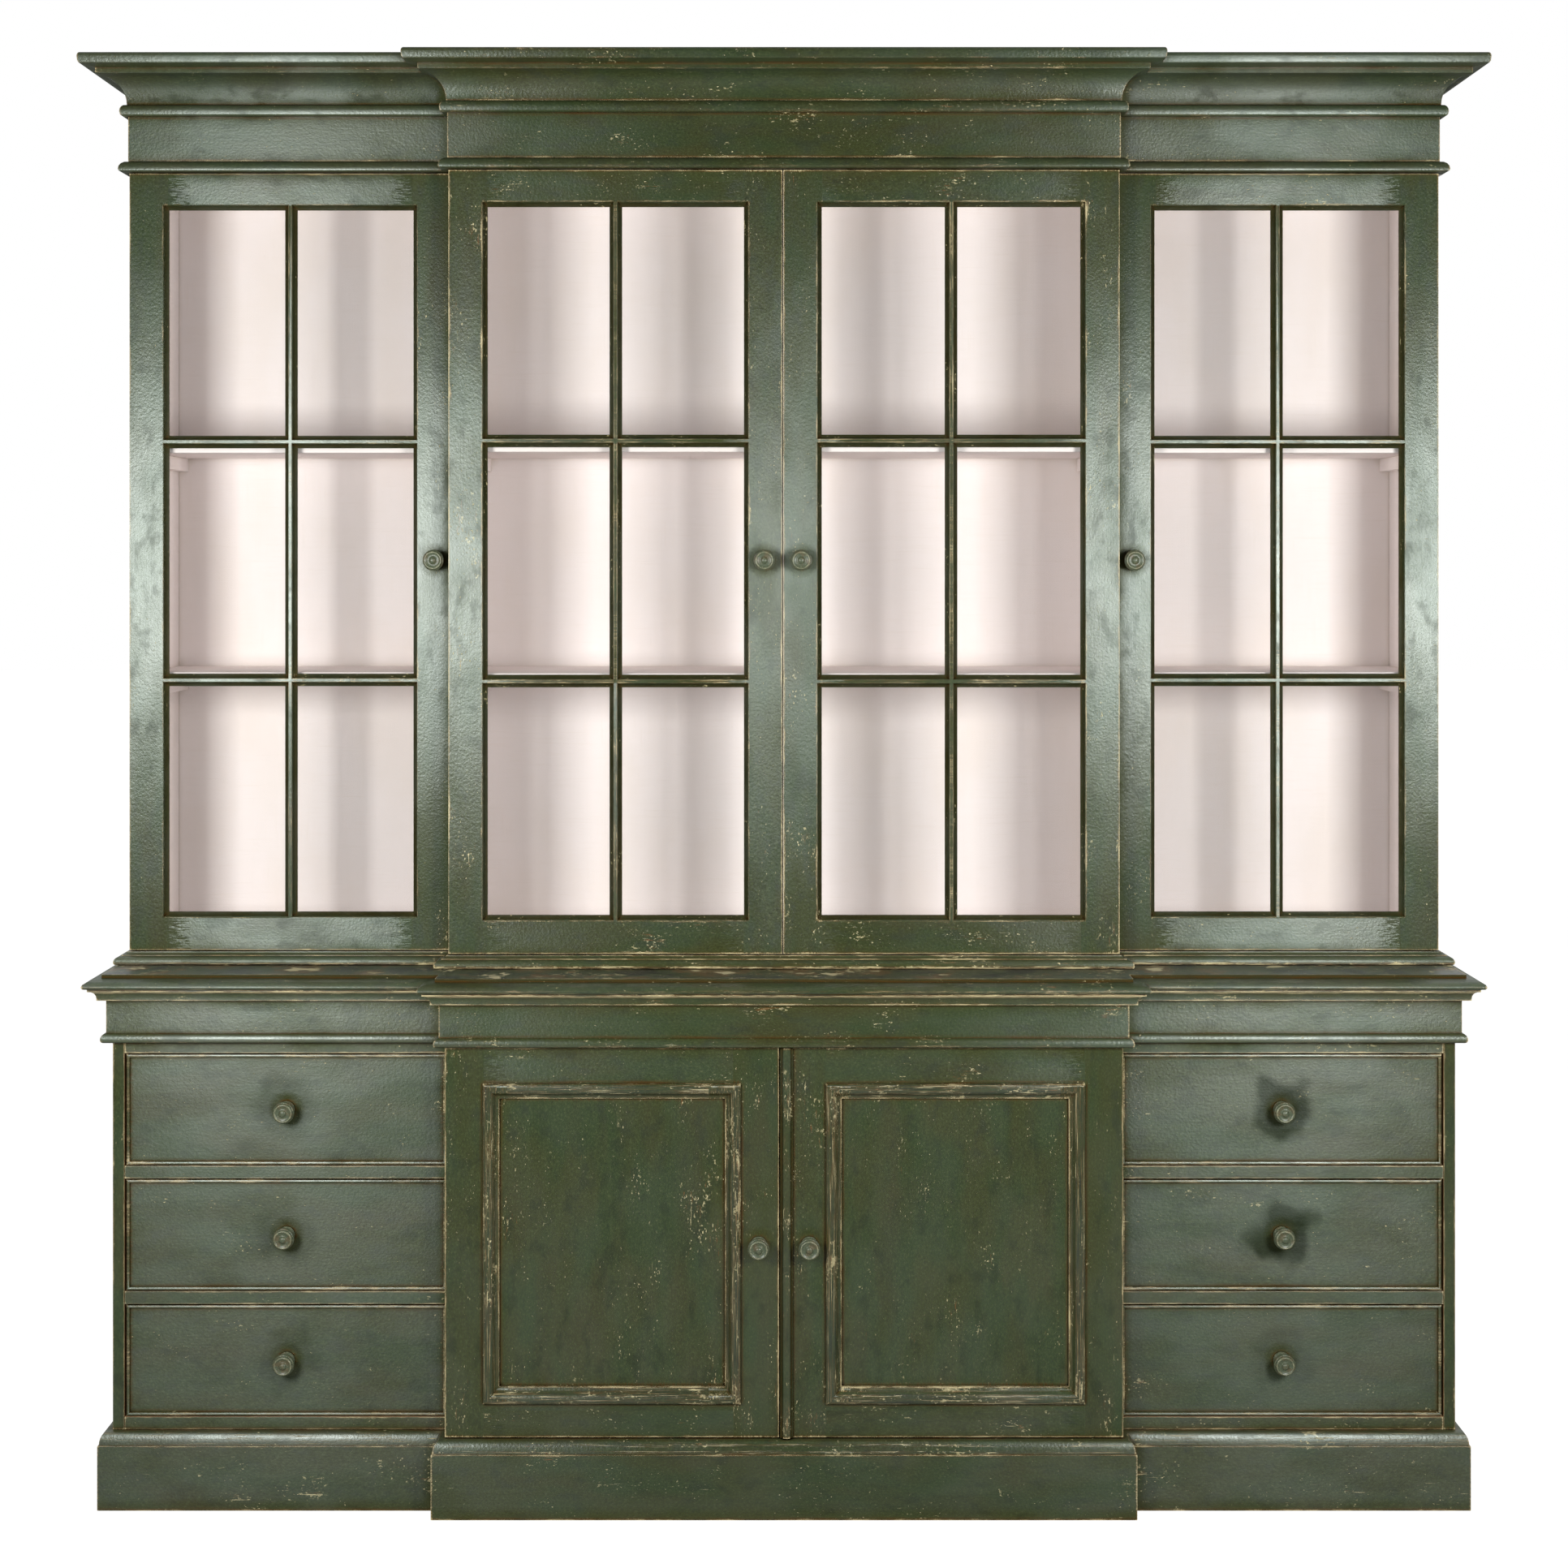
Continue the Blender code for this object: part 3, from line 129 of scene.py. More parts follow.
@dataclass
class Nodes:
    """The node tree of a material or of the world, emptied to be built anew."""

    owner: bpy.types.Material | bpy.types.World

    def __post_init__(self) -> None:
        """Empties the tree."""
        self.owner.use_nodes = True
        self.tree = self.owner.node_tree
        self.tree.nodes.clear()

    def add(self, kind: str, settings: dict | None = None, links: dict | None = None):
        """Adds a node.

        Args:
            kind: Blender's name for the node's type, which begins with ShaderNode.
            settings: properties by name, and values of inputs by name or number.
            links: the output socket that feeds each input, by the input's name or number.

        Returns:
            The outputs of the new node.
        """
        node = self.tree.nodes.new(f"ShaderNode{kind}")
        for key, value in (settings or {}).items():
            if isinstance(key, str) and hasattr(node, key):
                setattr(node, key, value)
            else:
                node.inputs[key].default_value = value
        for key, socket in (links or {}).items():
            self.tree.links.new(socket, node.inputs[key])
        return node.outputs

    def between(
        self, value, low: float, high: float, start: float = 0.0, end: float = 1.0, way: str = "SMOOTHSTEP"
    ) -> Socket:
        """Adds a step of a value between low and high, which leads from start to end."""
        settings = {"interpolation_type": way, 1: low, 2: high, 3: start, 4: end}
        return self.add("MapRange", settings, {0: value})[0]

    def sum_of(self, *terms: tuple, base: float = 0.0) -> Socket:
        """Adds up pairs of a socket and its factor, starting from a base."""
        total = None
        for socket, factor in terms:
            links = {0: socket} if total is None else {0: socket, 2: total}
            settings = {"operation": "MULTIPLY_ADD", 1: factor, 2: base}
            total = self.add("Math", settings, links)[0]
        return total

    def product(self, first, second) -> Socket:
        """Multiplies a socket by another socket or by a number."""
        number = isinstance(second, float)
        settings = {"operation": "MULTIPLY", **({1: second} if number else {})}
        links = {0: first} if number else {0: first, 1: second}
        return self.add("Math", settings, links)[0]

    def larger(self, first, second) -> Socket:
        """Gives the larger of two sockets."""
        return self.add("Math", {"operation": "MAXIMUM"}, {0: first, 1: second})[0]


class Grained(Nodes):
    """A material whose patterns follow the grain of the board that they lie on."""

    def __post_init__(self) -> None:
        """Reads the place and the grain of each face."""
        super().__post_init__()
        self.place = self.add("TexCoord")["Object"]
        told = self.add("Attribute", {"attribute_name": "surface"})["Vector"]
        self.turned, self.rubbed, self.board = self.add("SeparateXYZ", {}, {0: told})
        wholly = {"operation": "GREATER_THAN", 1: 0.98}
        self.upright = self.add("Math", wholly, {0: self.turned})[0]
        own_place = {"operation": "MULTIPLY_ADD", 1: (0.37, 0.53, 0.71)}
        shifted = self.add("VectorMath", own_place, {0: self.board, 2: self.place})
        self.shifted = shifted["Vector"]

    def pattern(self, across_mm: float, along_mm: float, detail: float = 2.0, rough: float = 0.5):
        """Adds a noise whose features are as wide across the grain and as long along it as given.

        Args:
            across_mm: width of a feature across the grain, in millimetres.
            along_mm: length of a feature along the grain, in millimetres.
            detail: how many finer layers the noise has.
            rough: how strong the finer layers are.

        Returns:
            The socket of the noise's value.
        """
        across, along = 1 / (across_mm * MM), 1 / (along_mm * MM)
        ways = {"data_type": "VECTOR", 4: (along, along, across), 5: (across, across, along)}
        scale = self.add("Mix", ways, {0: self.upright})[1]
        stretched = self.add("VectorMath", {"operation": "MULTIPLY"}, {0: self.shifted, 1: scale})
        settings = {"Scale": 1.0, "Detail": detail, "Roughness": rough}
        return self.add("TexNoise", settings, {"Vector": stretched[0]})["Fac"]

    def over(self, below, *layers: tuple) -> Socket:
        """Lays colours over another, one after the other.

        Args:
            below: the socket of the colour underneath, or its hex value.
            layers: the hex value of each colour and the socket of how much it covers. Where it
                covers by a step of that socket, the step's two ends and the most follow.

        Returns:
            The socket of the colour.
        """
        for above, amount, *step in layers:
            if step:
                amount = self.between(amount, step[0], step[1], 0.0, step[2])
            settings, links = {"data_type": "RGBA", 7: linear(above)}, {0: amount}
            if isinstance(below, str):
                settings[6] = linear(below)
            else:
                links[6] = below
            below = self.add("Mix", settings, links)[2]
        return below

    def arrises(self, reach_mm: float) -> Socket:
        """Gives how close a point is to an outside edge: none at the reach, about one on it."""
        settings = {"samples": 6, "inside": True, "only_local": True, "Distance": reach_mm * MM}
        inside = self.add("AmbientOcclusion", settings)["AO"]
        return self.sum_of((inside, -2.0), base=2.0)

    def recesses(self, reach_mm: float) -> Socket:
        """Gives how enclosed a point is by what stands within reach: none in the open."""
        settings = {"samples": 4, "Distance": reach_mm * MM}
        return self.sum_of((self.add("AmbientOcclusion", settings)["AO"], -1.0), base=1.0)

    def relief(self, height, depth_mm: float, normal=None) -> Socket:
        """Raises a surface by a pattern, over the relief underneath if there is one."""
        links = {"Height": height} if normal is None else {"Height": height, "Normal": normal}
        settings = {"Strength": 1.0, "Distance": depth_mm * MM}
        return self.add("Bump", settings, links)["Normal"]

    def across_strokes(self) -> Socket:
        """Gives the direction in the surface that lies across the brush strokes.

        Where two ways meet, single strokes end at different places.
        """
        ragged = self.between(self.pattern(1.3, 16, 3.0), 0.36, 0.64)
        ends = self.sum_of((ragged, 0.92), (self.turned, 1.0))
        upright = self.add("Math", {"operation": "GREATER_THAN", 1: 0.96}, {0: ends})
        ways = {"data_type": "VECTOR", 4: (1.0, 0.15, 0.0), 5: (0.0, 0.15, 1.0)}
        strokes = self.add("Mix", ways, {0: upright[0]})[1]
        spaces = {"vector_type": "VECTOR", "convert_from": "OBJECT", "convert_to": "WORLD"}
        strokes = self.add("VectorTransform", spaces, {0: strokes})[0]
        facing = self.add("NewGeometry")["Normal"]
        across = {"operation": "CROSS_PRODUCT"}
        return self.add("VectorMath", across, {0: facing, 1: strokes})["Vector"]

    def close(
        self, colour, roughness: float, varied: tuple, normal, settings: dict, others: dict | None = None
    ) -> bpy.types.Material:
        """Ends the material with its shader.

        Args:
            colour: the socket of the colour.
            roughness: how rough the finish is on average.
            varied: pairs of a socket and how much of it is added to that.
            normal: the socket of the normal.
            settings: values of the shader's other inputs.
            others: sockets that feed more of the shader's inputs.

        Returns:
            The finished material.
        """
        rough = self.sum_of(*varied, base=roughness - MEAN_NOISE)
        links = {"Base Color": colour, "Roughness": rough, "Normal": normal, **(others or {})}
        shader = self.add("BsdfPrincipled", settings, links)
        self.add("OutputMaterial", {}, {"Surface": shader[0]})
        return self.owner


@dataclass(frozen=True)
class WornGreenPaint:
    """Oil paint in two greens over a cream ground, brushed along the grain, rubbed and waxed.

    The eye gets a dark satin green with brush strokes, thin cream and brown lines where the
    arrises are rubbed through, pale lines on the arrises that are partly a painted highlight,
    cream flecks along the grain, brown wax along the joints and painted shade, near black, in
    the recesses and on sheltered faces.
    Strokes and grit are drawn 1.6 to 5 mm wide, coarser than real ones, so that they show.
    """

    name: str = "worn_green_oil_paint"
    green: str = "#313611"
    cool_green: str = "#293715"
    pale_green: str = "#434C28"
    wax_brown: str = "#352D10"
    hands: str = "#1C2414"
    ground_brown: str = "#66421A"
    wax_line: str = "#4E3413"
    ground_cream: str = "#CBBE90"
    arris_highlight_and_thin_paint: str = "#8B8F78"
    dust: str = "#66644A"
    # near black: dark grit and streak lines, and painted shade in tight recesses and on sheltered faces
    shade_and_grime_black: str = "#120F07"
    roughness: float = 0.37
    brushed: float = 0.72
    gloss: float = 1.16
    sheen_tint: tuple = (0.9, 1.0, 0.94, 1.0)
    worn_half_width: float = 0.6
    worn_edge: float = 0.03
    wing_use: float = 0.55
    blots_per_metre: float = 21.0
    blot_reach: float = 0.08
    mark_radius: tuple = (0.074, 0.106)

    def make(self) -> bpy.types.Material:
        """Builds the material."""
        paint = Grained(bpy.data.materials.new(self.name))
        clouds = paint.pattern(80, 190, 3.0, 0.55)
        patches = paint.pattern(42, 95)
        grit = paint.pattern(2.8, 4.6, 2.0, 0.6)
        lines = paint.pattern(1.6, 80, 3.0, 0.62)
        blots = paint.between(paint.pattern(24, 42, 3.0, 0.55), 0.5, 0.7)
        enclosed, tight = paint.recesses(26), paint.recesses(7)
        waxed = paint.product(paint.between(tight, 0.12, 0.28), paint.between(lines, 0.42, 0.58, 0.1, 0.8))

        # What the hands, the dusters and the recesses of each face do to it; sheltered faces also get
        # painted shade.
        marks = self.hand_marks(paint)
        used = self.centre_use(paint)
        shelter_and_shade = paint.between(paint.rubbed, 0.0, -1.0)
        handling = paint.between(paint.rubbed, 0.0, 1.0)
        streaked = paint.between(paint.product(handling, handling), 0.06, 0.34)
        streaks = paint.product(streaked, paint.between(lines, 0.6, 0.67))

        # Where the paint is thin, and where it is gone.
        near = paint.product(paint.arrises(4.4), paint.between(paint.rubbed, -0.72, -0.22))
        rubs = (paint.pattern(2.6, 26, 4.0, 0.62), 1.05)
        use = ((used, 0.18), (handling, 0.16), (shelter_and_shade, -0.35))
        worn = paint.sum_of((near, 0.56), rubs, (patches, 0.85), *use)
        specks = (paint.pattern(3.0, 6.5, 3.0, 0.62), 1.0)
        chips = paint.sum_of(specks, (patches, 0.34), (used, 0.05), (handling, 0.05))
        wash = (paint.pattern(8, 17, 3.0, 0.62), 1.0)
        thin = paint.sum_of(wash, (patches, 0.6), (grit, 0.5), (used, 0.1), (handling, 0.2))
        scratches = (paint.pattern(2.2, 60, 3.0, 0.6), 1.0)
        cuts = paint.sum_of(scratches, (patches, 0.45), (used, 0.06), (handling, 0.2))
        cream = paint.larger(paint.between(worn, 1.54, 1.64), streaks)
        bare = paint.larger(paint.between(chips, 0.905, 0.97), paint.between(cuts, 1.05, 1.11))
        bare = paint.larger(cream, bare)

        colour = paint.over(
            self.green,
            (self.cool_green, clouds, 0.4, 0.62, 1.0),
            (self.pale_green, paint.pattern(9, 260, 3.0, 0.55), 0.5, 0.8, 0.22),
            (self.wax_brown, paint.pattern(55, 210), 0.48, 0.7, 0.34),
            (self.pale_green, grit, 0.5, 0.76, 0.75),
            (self.shade_and_grime_black, grit, 0.48, 0.24, 0.45),
            (self.hands, paint.product(blots, 0.45)),
            (self.hands, marks),
            (self.wax_brown, paint.product(handling, 0.28)),
            (self.shade_and_grime_black, paint.product(streaked, paint.between(lines, 0.46, 0.38))),
            (self.ground_brown, paint.product(streaked, paint.between(lines, 0.51, 0.58, 0.0, 0.6))),
            # painted shade: sheltered faces darkened towards near black
            (self.shade_and_grime_black, paint.product(shelter_and_shade, 0.6)),
            (self.dust, enclosed, 0.12, 0.42, 0.3),
            (self.wax_line, waxed),
            # painted shade: near black in tight recesses, gaps and creases, from how enclosed they are
            (self.shade_and_grime_black, tight, 0.24, 0.56, 0.92),
            # partly a painted highlight: pale lines on the eased arrises where they would catch the lamps,
            # partly thin paint
            (self.arris_highlight_and_thin_paint, near, 0.66, 0.94, 0.68),
            (self.ground_cream, thin, 1.39, 1.48, 0.5),
            (self.ground_brown, worn, 1.4, 1.5, 0.85),
            (self.ground_cream, paint.product(bare, 0.85)),
        )

        rough = ((clouds, 0.1), (grit, 0.1), (bare, 0.2), (blots, 0.07), (shelter_and_shade, 0.22))
        normal = paint.relief(paint.pattern(2.6, 70), 0.1)
        normal = paint.relief(paint.pattern(4.0, 4.8, 2.0, 0.6), 0.31, normal)
        normal = paint.relief(paint.product(bare, -1.0), 0.2, normal)
        # less gloss where enclosed: partly dust, partly painted shade, as in the dark strip beside the
        # centre's return
        dust_and_shade_dull = paint.between(enclosed, 0.1, 0.34)
        cloudy = paint.between(paint.pattern(70, 150, 3.0), 0.4, 0.64)
        gloss = ((dust_and_shade_dull, -0.8), (cloudy, -0.25), (blots, -0.12), (marks, -0.7), (handling, 0.25))
        gloss = paint.product(paint.sum_of(*gloss, (shelter_and_shade, -0.65), base=1.0), self.gloss)
        sheen = {"Specular IOR Level": gloss, "Tangent": paint.across_strokes()}
        constant = {"Anisotropic": self.brushed, "Specular Tint": self.sheen_tint}
        return paint.close(colour, self.roughness, rough, normal, constant, sheen)

    def centre_use(self, paint: Grained) -> Socket:
        """Gives how much use a place has seen: all of it in the centre, less on the wings."""
        away = paint.add("SeparateXYZ", {}, {0: paint.place})["X"]
        away = paint.add("Math", {"operation": "ABSOLUTE"}, {0: away})[0]
        start = self.worn_half_width
        return paint.between(away, start, start + self.worn_edge, 1.0, self.wing_use)

    def hand_marks(self, paint: Grained) -> Socket:
        """Gives how much hands have dulled the paint round a knob, as far as they reach."""
        knob = paint.add("Attribute", {"attribute_name": "knob"})["Vector"]
        knob_x, knob_z, strength = paint.add("SeparateXYZ", {}, {0: knob})
        knob = paint.add("CombineXYZ", {}, {"X": knob_x, "Z": knob_z})[0]
        flat = {"operation": "MULTIPLY", 1: (1.0, 0.0, 1.0)}
        here = paint.add("VectorMath", flat, {0: paint.place})[0]
        away = paint.add("VectorMath", {"operation": "DISTANCE"}, {0: here, 1: knob})
        settings = {"Scale": self.blots_per_metre, "Detail": 0.8}
        blots = paint.add("TexNoise", settings, {"Vector": paint.place})
        edge = paint.sum_of((away["Value"], 1.0), (blots["Fac"], self.blot_reach))
        return paint.product(paint.between(edge, *self.mark_radius, 1.0, 0.0), strength)


@dataclass(frozen=True)
class CreamPaint:
    """Eggshell paint over a close-woven lining paper, brushed up and down.

    The eye gets a warm off-white with a faint weave, and a darker, yellower tone towards the corners.
    The threads are drawn 1.6 to 1.8 mm wide, coarser than real ones, so that they show.
    """

    name: str = "cream_eggshell_paint"
    cream: str = "#ECDFDD"
    warm: str = "#E3D3CA"
    corner: str = "#CDB9A6"
    stain: str = "#A79A8C"
    roughness: float = 0.62

    def make(self) -> bpy.types.Material:
        """Builds the material."""
        paint = Grained(bpy.data.materials.new(self.name))
        clouds = paint.pattern(120, 300, 3.0)
        weft = paint.pattern(60, 1.6, 1.0)
        warp = paint.pattern(1.8, 90)
        colour = paint.over(
            self.cream,
            (self.warm, clouds, 0.4, 0.75, 0.45),
            (self.warm, warp, 0.5, 0.8, 0.3),
            (self.warm, weft, 0.5, 0.8, 0.3),
            (self.stain, paint.pattern(5, 6), 0.745, 0.8, 0.4),
            # darker and yellower in the corners and recesses, from how enclosed they are
            (self.corner, paint.recesses(16), 0.25, 0.7, 0.55),
        )
        rough = ((clouds, 0.12), (warp, 0.1))
        normal = paint.relief(weft, 0.08, paint.relief(warp, 0.1))
        return paint.close(colour, self.roughness, rough, normal, {"Specular IOR Level": 0.4})


@dataclass(frozen=True)
class BareDeal:
    """Planed softwood, left without paint and darkened by age.

    The eye gets a brown straw colour with fine dark grain lines and small pores. The fibres
    are drawn 1.6 mm wide, coarser than real ones, so that they show.
    """

    name: str = "aged_bare_deal"
    wood: str = "#A67C4E"
    late_wood: str = "#7A5230"
    aged: str = "#8C6A45"
    corner_darkening: str = "#4A3623"
    end_grain: str = "#5C3F27"
    roughness: float = 0.66
    ring_step: float = 0.055

    def make(self) -> bpy.types.Material:
        """Builds the material."""
        timber = Grained(bpy.data.materials.new(self.name))
        figure = timber.pattern(34, 900, 3.0, 0.45)
        folded = {"operation": "PINGPONG", 1: self.ring_step}
        rings = timber.add("Math", folded, {0: figure})[0]
        fibres = timber.pattern(1.6, 60, 3.0, 0.6)
        clouds = timber.pattern(90, 300)
        colour = timber.over(
            self.wood,
            (self.aged, clouds, 0.35, 0.7, 1.0),
            (self.late_wood, rings, 0.028, self.ring_step, 0.65),
            (self.late_wood, fibres, 0.55, 0.8, 0.5),
            # darker in the corners and recesses, from how enclosed they are
            (self.corner_darkening, timber.recesses(14), 0.25, 0.75, 0.6),
            (self.end_grain, timber.rubbed, -0.5, -1.0, 0.75),
        )
        rough = ((fibres, 0.16), (clouds, 0.06))
        normal = timber.relief(rings, 1.2, timber.relief(fibres, 0.12))
        return timber.close(colour, self.roughness, rough, normal, {"Specular IOR Level": 0.35})


@dataclass(frozen=True)
class TurnedKnobPaint:
    """The green paint on turned beech, polished and browned by hands.

    The eye gets a glossier green, brown where fingers hold it, pale on the worn rims and painted shade,
    near black, in its grooves.
    """

    name: str = "handled_green_paint_on_beech"
    green: str = "#454F3B"
    brown: str = "#57482E"
    rubbed: str = "#A7A585"
    shade_and_grime_black: str = "#0C0C08"
    roughness: float = 0.34

    def make(self) -> bpy.types.Material:
        """Builds the material."""
        paint = Grained(bpy.data.materials.new(self.name))
        hands = paint.pattern(12, 12, 3.0)
        grit = paint.pattern(1.8, 1.8, 3.0, 0.6)
        worn = paint.sum_of((paint.arrises(2.6), 0.9), (paint.pattern(5, 5, 3.0, 0.6), 0.8))
        colour = paint.over(
            self.green,
            (self.brown, hands, 0.46, 0.66, 0.6),
            (self.rubbed, grit, 0.52, 0.76, 0.5),
            (self.rubbed, worn, 0.66, 0.92, 0.85),
            # painted shade: near black in the grooves
            (self.shade_and_grime_black, paint.recesses(4), 0.2, 0.62, 0.92),
        )
        rough, normal = ((hands, 0.16), (grit, 0.1)), paint.relief(grit, 0.1)
        return paint.close(colour, self.roughness, rough, normal, {"Specular IOR Level": 0.5})


@dataclass(frozen=True)
class DrawnSheetGlass:
    """Old drawn window glass: clear, faintly green and not quite flat.

    The eye gets the inside of the case through it, with soft waves in what it reflects.
    """

    name: str = "drawn_sheet_glass"
    tint: str = "#FDFFFE"
    roughness: float = 0.02
    index: float = 1.5
    wave_mm: float = 45.0

    def make(self) -> bpy.types.Material:
        """Builds the material: light that falls through the glass goes straight on."""
        glass = Grained(bpy.data.materials.new(self.name))
        waves = glass.relief(glass.pattern(self.wave_mm, 2 * self.wave_mm, 1.0), 0.12)
        tint = linear(self.tint)
        clear = {"Base Color": tint, "Roughness": self.roughness, "IOR": self.index}
        clear["Transmission Weight"] = 1.0
        shader = glass.add("BsdfPrincipled", clear, {"Normal": waves})[0]
        through = glass.add("BsdfTransparent", {"Color": tint})[0]
        path = glass.add("LightPath")
        passing = glass.larger(path["Is Shadow Ray"], path["Is Diffuse Ray"])
        mixed = glass.add("MixShader", {}, {0: passing, 1: shader, 2: through})
        glass.add("OutputMaterial", {}, {"Surface": mixed[0]})
        return glass.owner


class Finishes:
    """The finishes that the cabinet needs, each made once."""

    def __init__(self) -> None:
        """Makes every material."""
        self.coats = {
            Coat.GREEN: WornGreenPaint().make(),
            Coat.CREAM: CreamPaint().make(),
            Coat.BARE: BareDeal().make(),
        }
        self.knob = TurnedKnobPaint().make()
        self.glass = DrawnSheetGlass().make()


def plane(axis: str, place: float) -> tuple[Vector, Vector]:
    """Gives the plane across an axis at a place on it, as a point and a normal."""
    normal = Vector([float(name == axis) for name in "xyz"])
    return normal * place, normal


def faces_middle(middle: Vector, normal: Vector) -> bool:
    """Tells whether an upright side face looks towards the cabinet's middle."""
    return abs(normal.x) > FACING and middle.x * normal.x < 0


@dataclass
class Joinery:
    """Boards that keep the shape of the frame, with eased arrises and their own grain."""

    finishes: Finishes
    body: str = "root"
    knob_mark: tuple = (0.0, 0.0, 0.0)
    ease_steps: int = 2
    sharp_degrees: float = 34.0
    flat_degrees: float = 0.4
    weld_mm: float = 0.01

    def copy_of(self, node: str, cuts: Iterable[tuple] = (), ease: Ease = Ease.BOARD) -> bpy.types.Object:
        """Copies a node of the frame, joins its loose triangles and eases its arrises.

        Args:
            node: name of the node in the frame.
            cuts: planes that part its faces, each as a point and a normal.
            ease: how round its arrises become.

        Returns:
            The new piece, which stands for the node.
        """
        piece = bpy.data.objects.new(f"{node}_joinery", frame["nodes"][node].data.copy())
        bpy.context.scene.collection.objects.link(piece)
        bpy.ops.object.select_all(action="DESELECT")
        piece.select_set(True)
        bpy.context.view_layer.objects.active = piece
        bpy.ops.object.mode_set(mode="EDIT")
        bpy.ops.mesh.select_mode(type="VERT")
        bpy.ops.mesh.select_all(action="SELECT")
        bpy.ops.mesh.remove_doubles(threshold=self.weld_mm * MM)
        bpy.ops.mesh.select_all(action="SELECT")
        bpy.ops.mesh.customdata_custom_splitnormals_clear()
        bpy.ops.mesh.dissolve_limited(angle_limit=math.radians(self.flat_degrees))
        for point, direction in cuts:
            bpy.ops.mesh.select_all(action="SELECT")
            bpy.ops.mesh.bisect(plane_co=point, plane_no=direction)
        bpy.ops.object.mode_set(mode="OBJECT")
        eased = piece.modifiers.new("eased_arrises", "BEVEL")
        eased.width = ease.value * MM
        eased.segments = self.ease_steps
        eased.limit_method = "ANGLE"
        eased.angle_limit = math.radians(self.sharp_degrees)
        eased.miter_outer = "MITER_ARC"
        bpy.ops.object.modifier_apply(modifier=eased.name)
        bpy.ops.object.shade_smooth_by_angle(angle=math.radians(self.sharp_degrees))
        flat = piece.modifiers.new("flat_faces", "WEIGHTED_NORMAL")
        flat.keep_sharp = True
        bpy.ops.object.modifier_apply(modifier=flat.name)
        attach(piece, self.body)
        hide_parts(node)
        return piece

    def dress(self, piece: bpy.types.Object, rule: FaceRule) -> None:
        """Gives each face its coat, the way of its grain and the number of its board.

        Args:
            piece: the piece to dress.
            rule: tells a face's surface from its middle and its normal.
        """
        mesh = piece.data
        mesh.materials.clear()
        surfaces = [rule(face.center, face.normal) for face in mesh.polygons]
        areas = {surface.coat: 0.0 for surface in surfaces}
        told = []
        for face, surface in zip(mesh.polygons, surfaces):
            areas[surface.coat] += face.area
            for corner in face.vertices:
                way = self.way_at(mesh.vertices[corner].co, surface)
                told.extend((way, surface.rubbed, surface.board))
        slots = {coat: index for index, coat in enumerate(areas)}
        for coat in slots:
            mesh.materials.append(self.finishes.coats[coat])
        mesh.polygons.foreach_set("material_index", [slots[surface.coat] for surface in surfaces])
        for name, values in (("surface", told), ("knob", self.knob_mark * len(mesh.loops))):
            mesh.attributes.new(name, "FLOAT_VECTOR", "CORNER").data.foreach_set("vector", values)
        max(areas, key=areas.get).value
        LOG.info("%s rides on %s", piece.name, self.body)

    def way_at(self, point: Vector, surface: Surface) -> float:
        """Gives which way the brush strokes run at a point: 0 for level, 1 for upright."""
        return surface.grain.value

    def plain(self, node: str, surface: Surface, ease: Ease = Ease.BOARD) -> None:
        """Builds a board that is the same all over."""
        self.dress(self.copy_of(node, ease=ease), lambda middle, normal: surface)

    def parted(self, node: str, door_y: float, inside: Coat, board: int) -> None:
        """Builds an upright board, green in front of the doors' plane and not behind it."""

        def rule(middle: Vector, normal: Vector) -> Surface:
            return Surface(Coat.GREEN if middle.y < door_y else inside, Grain.UPRIGHT, board)

        self.dress(self.copy_of(node, [plane("y", door_y)]), rule)


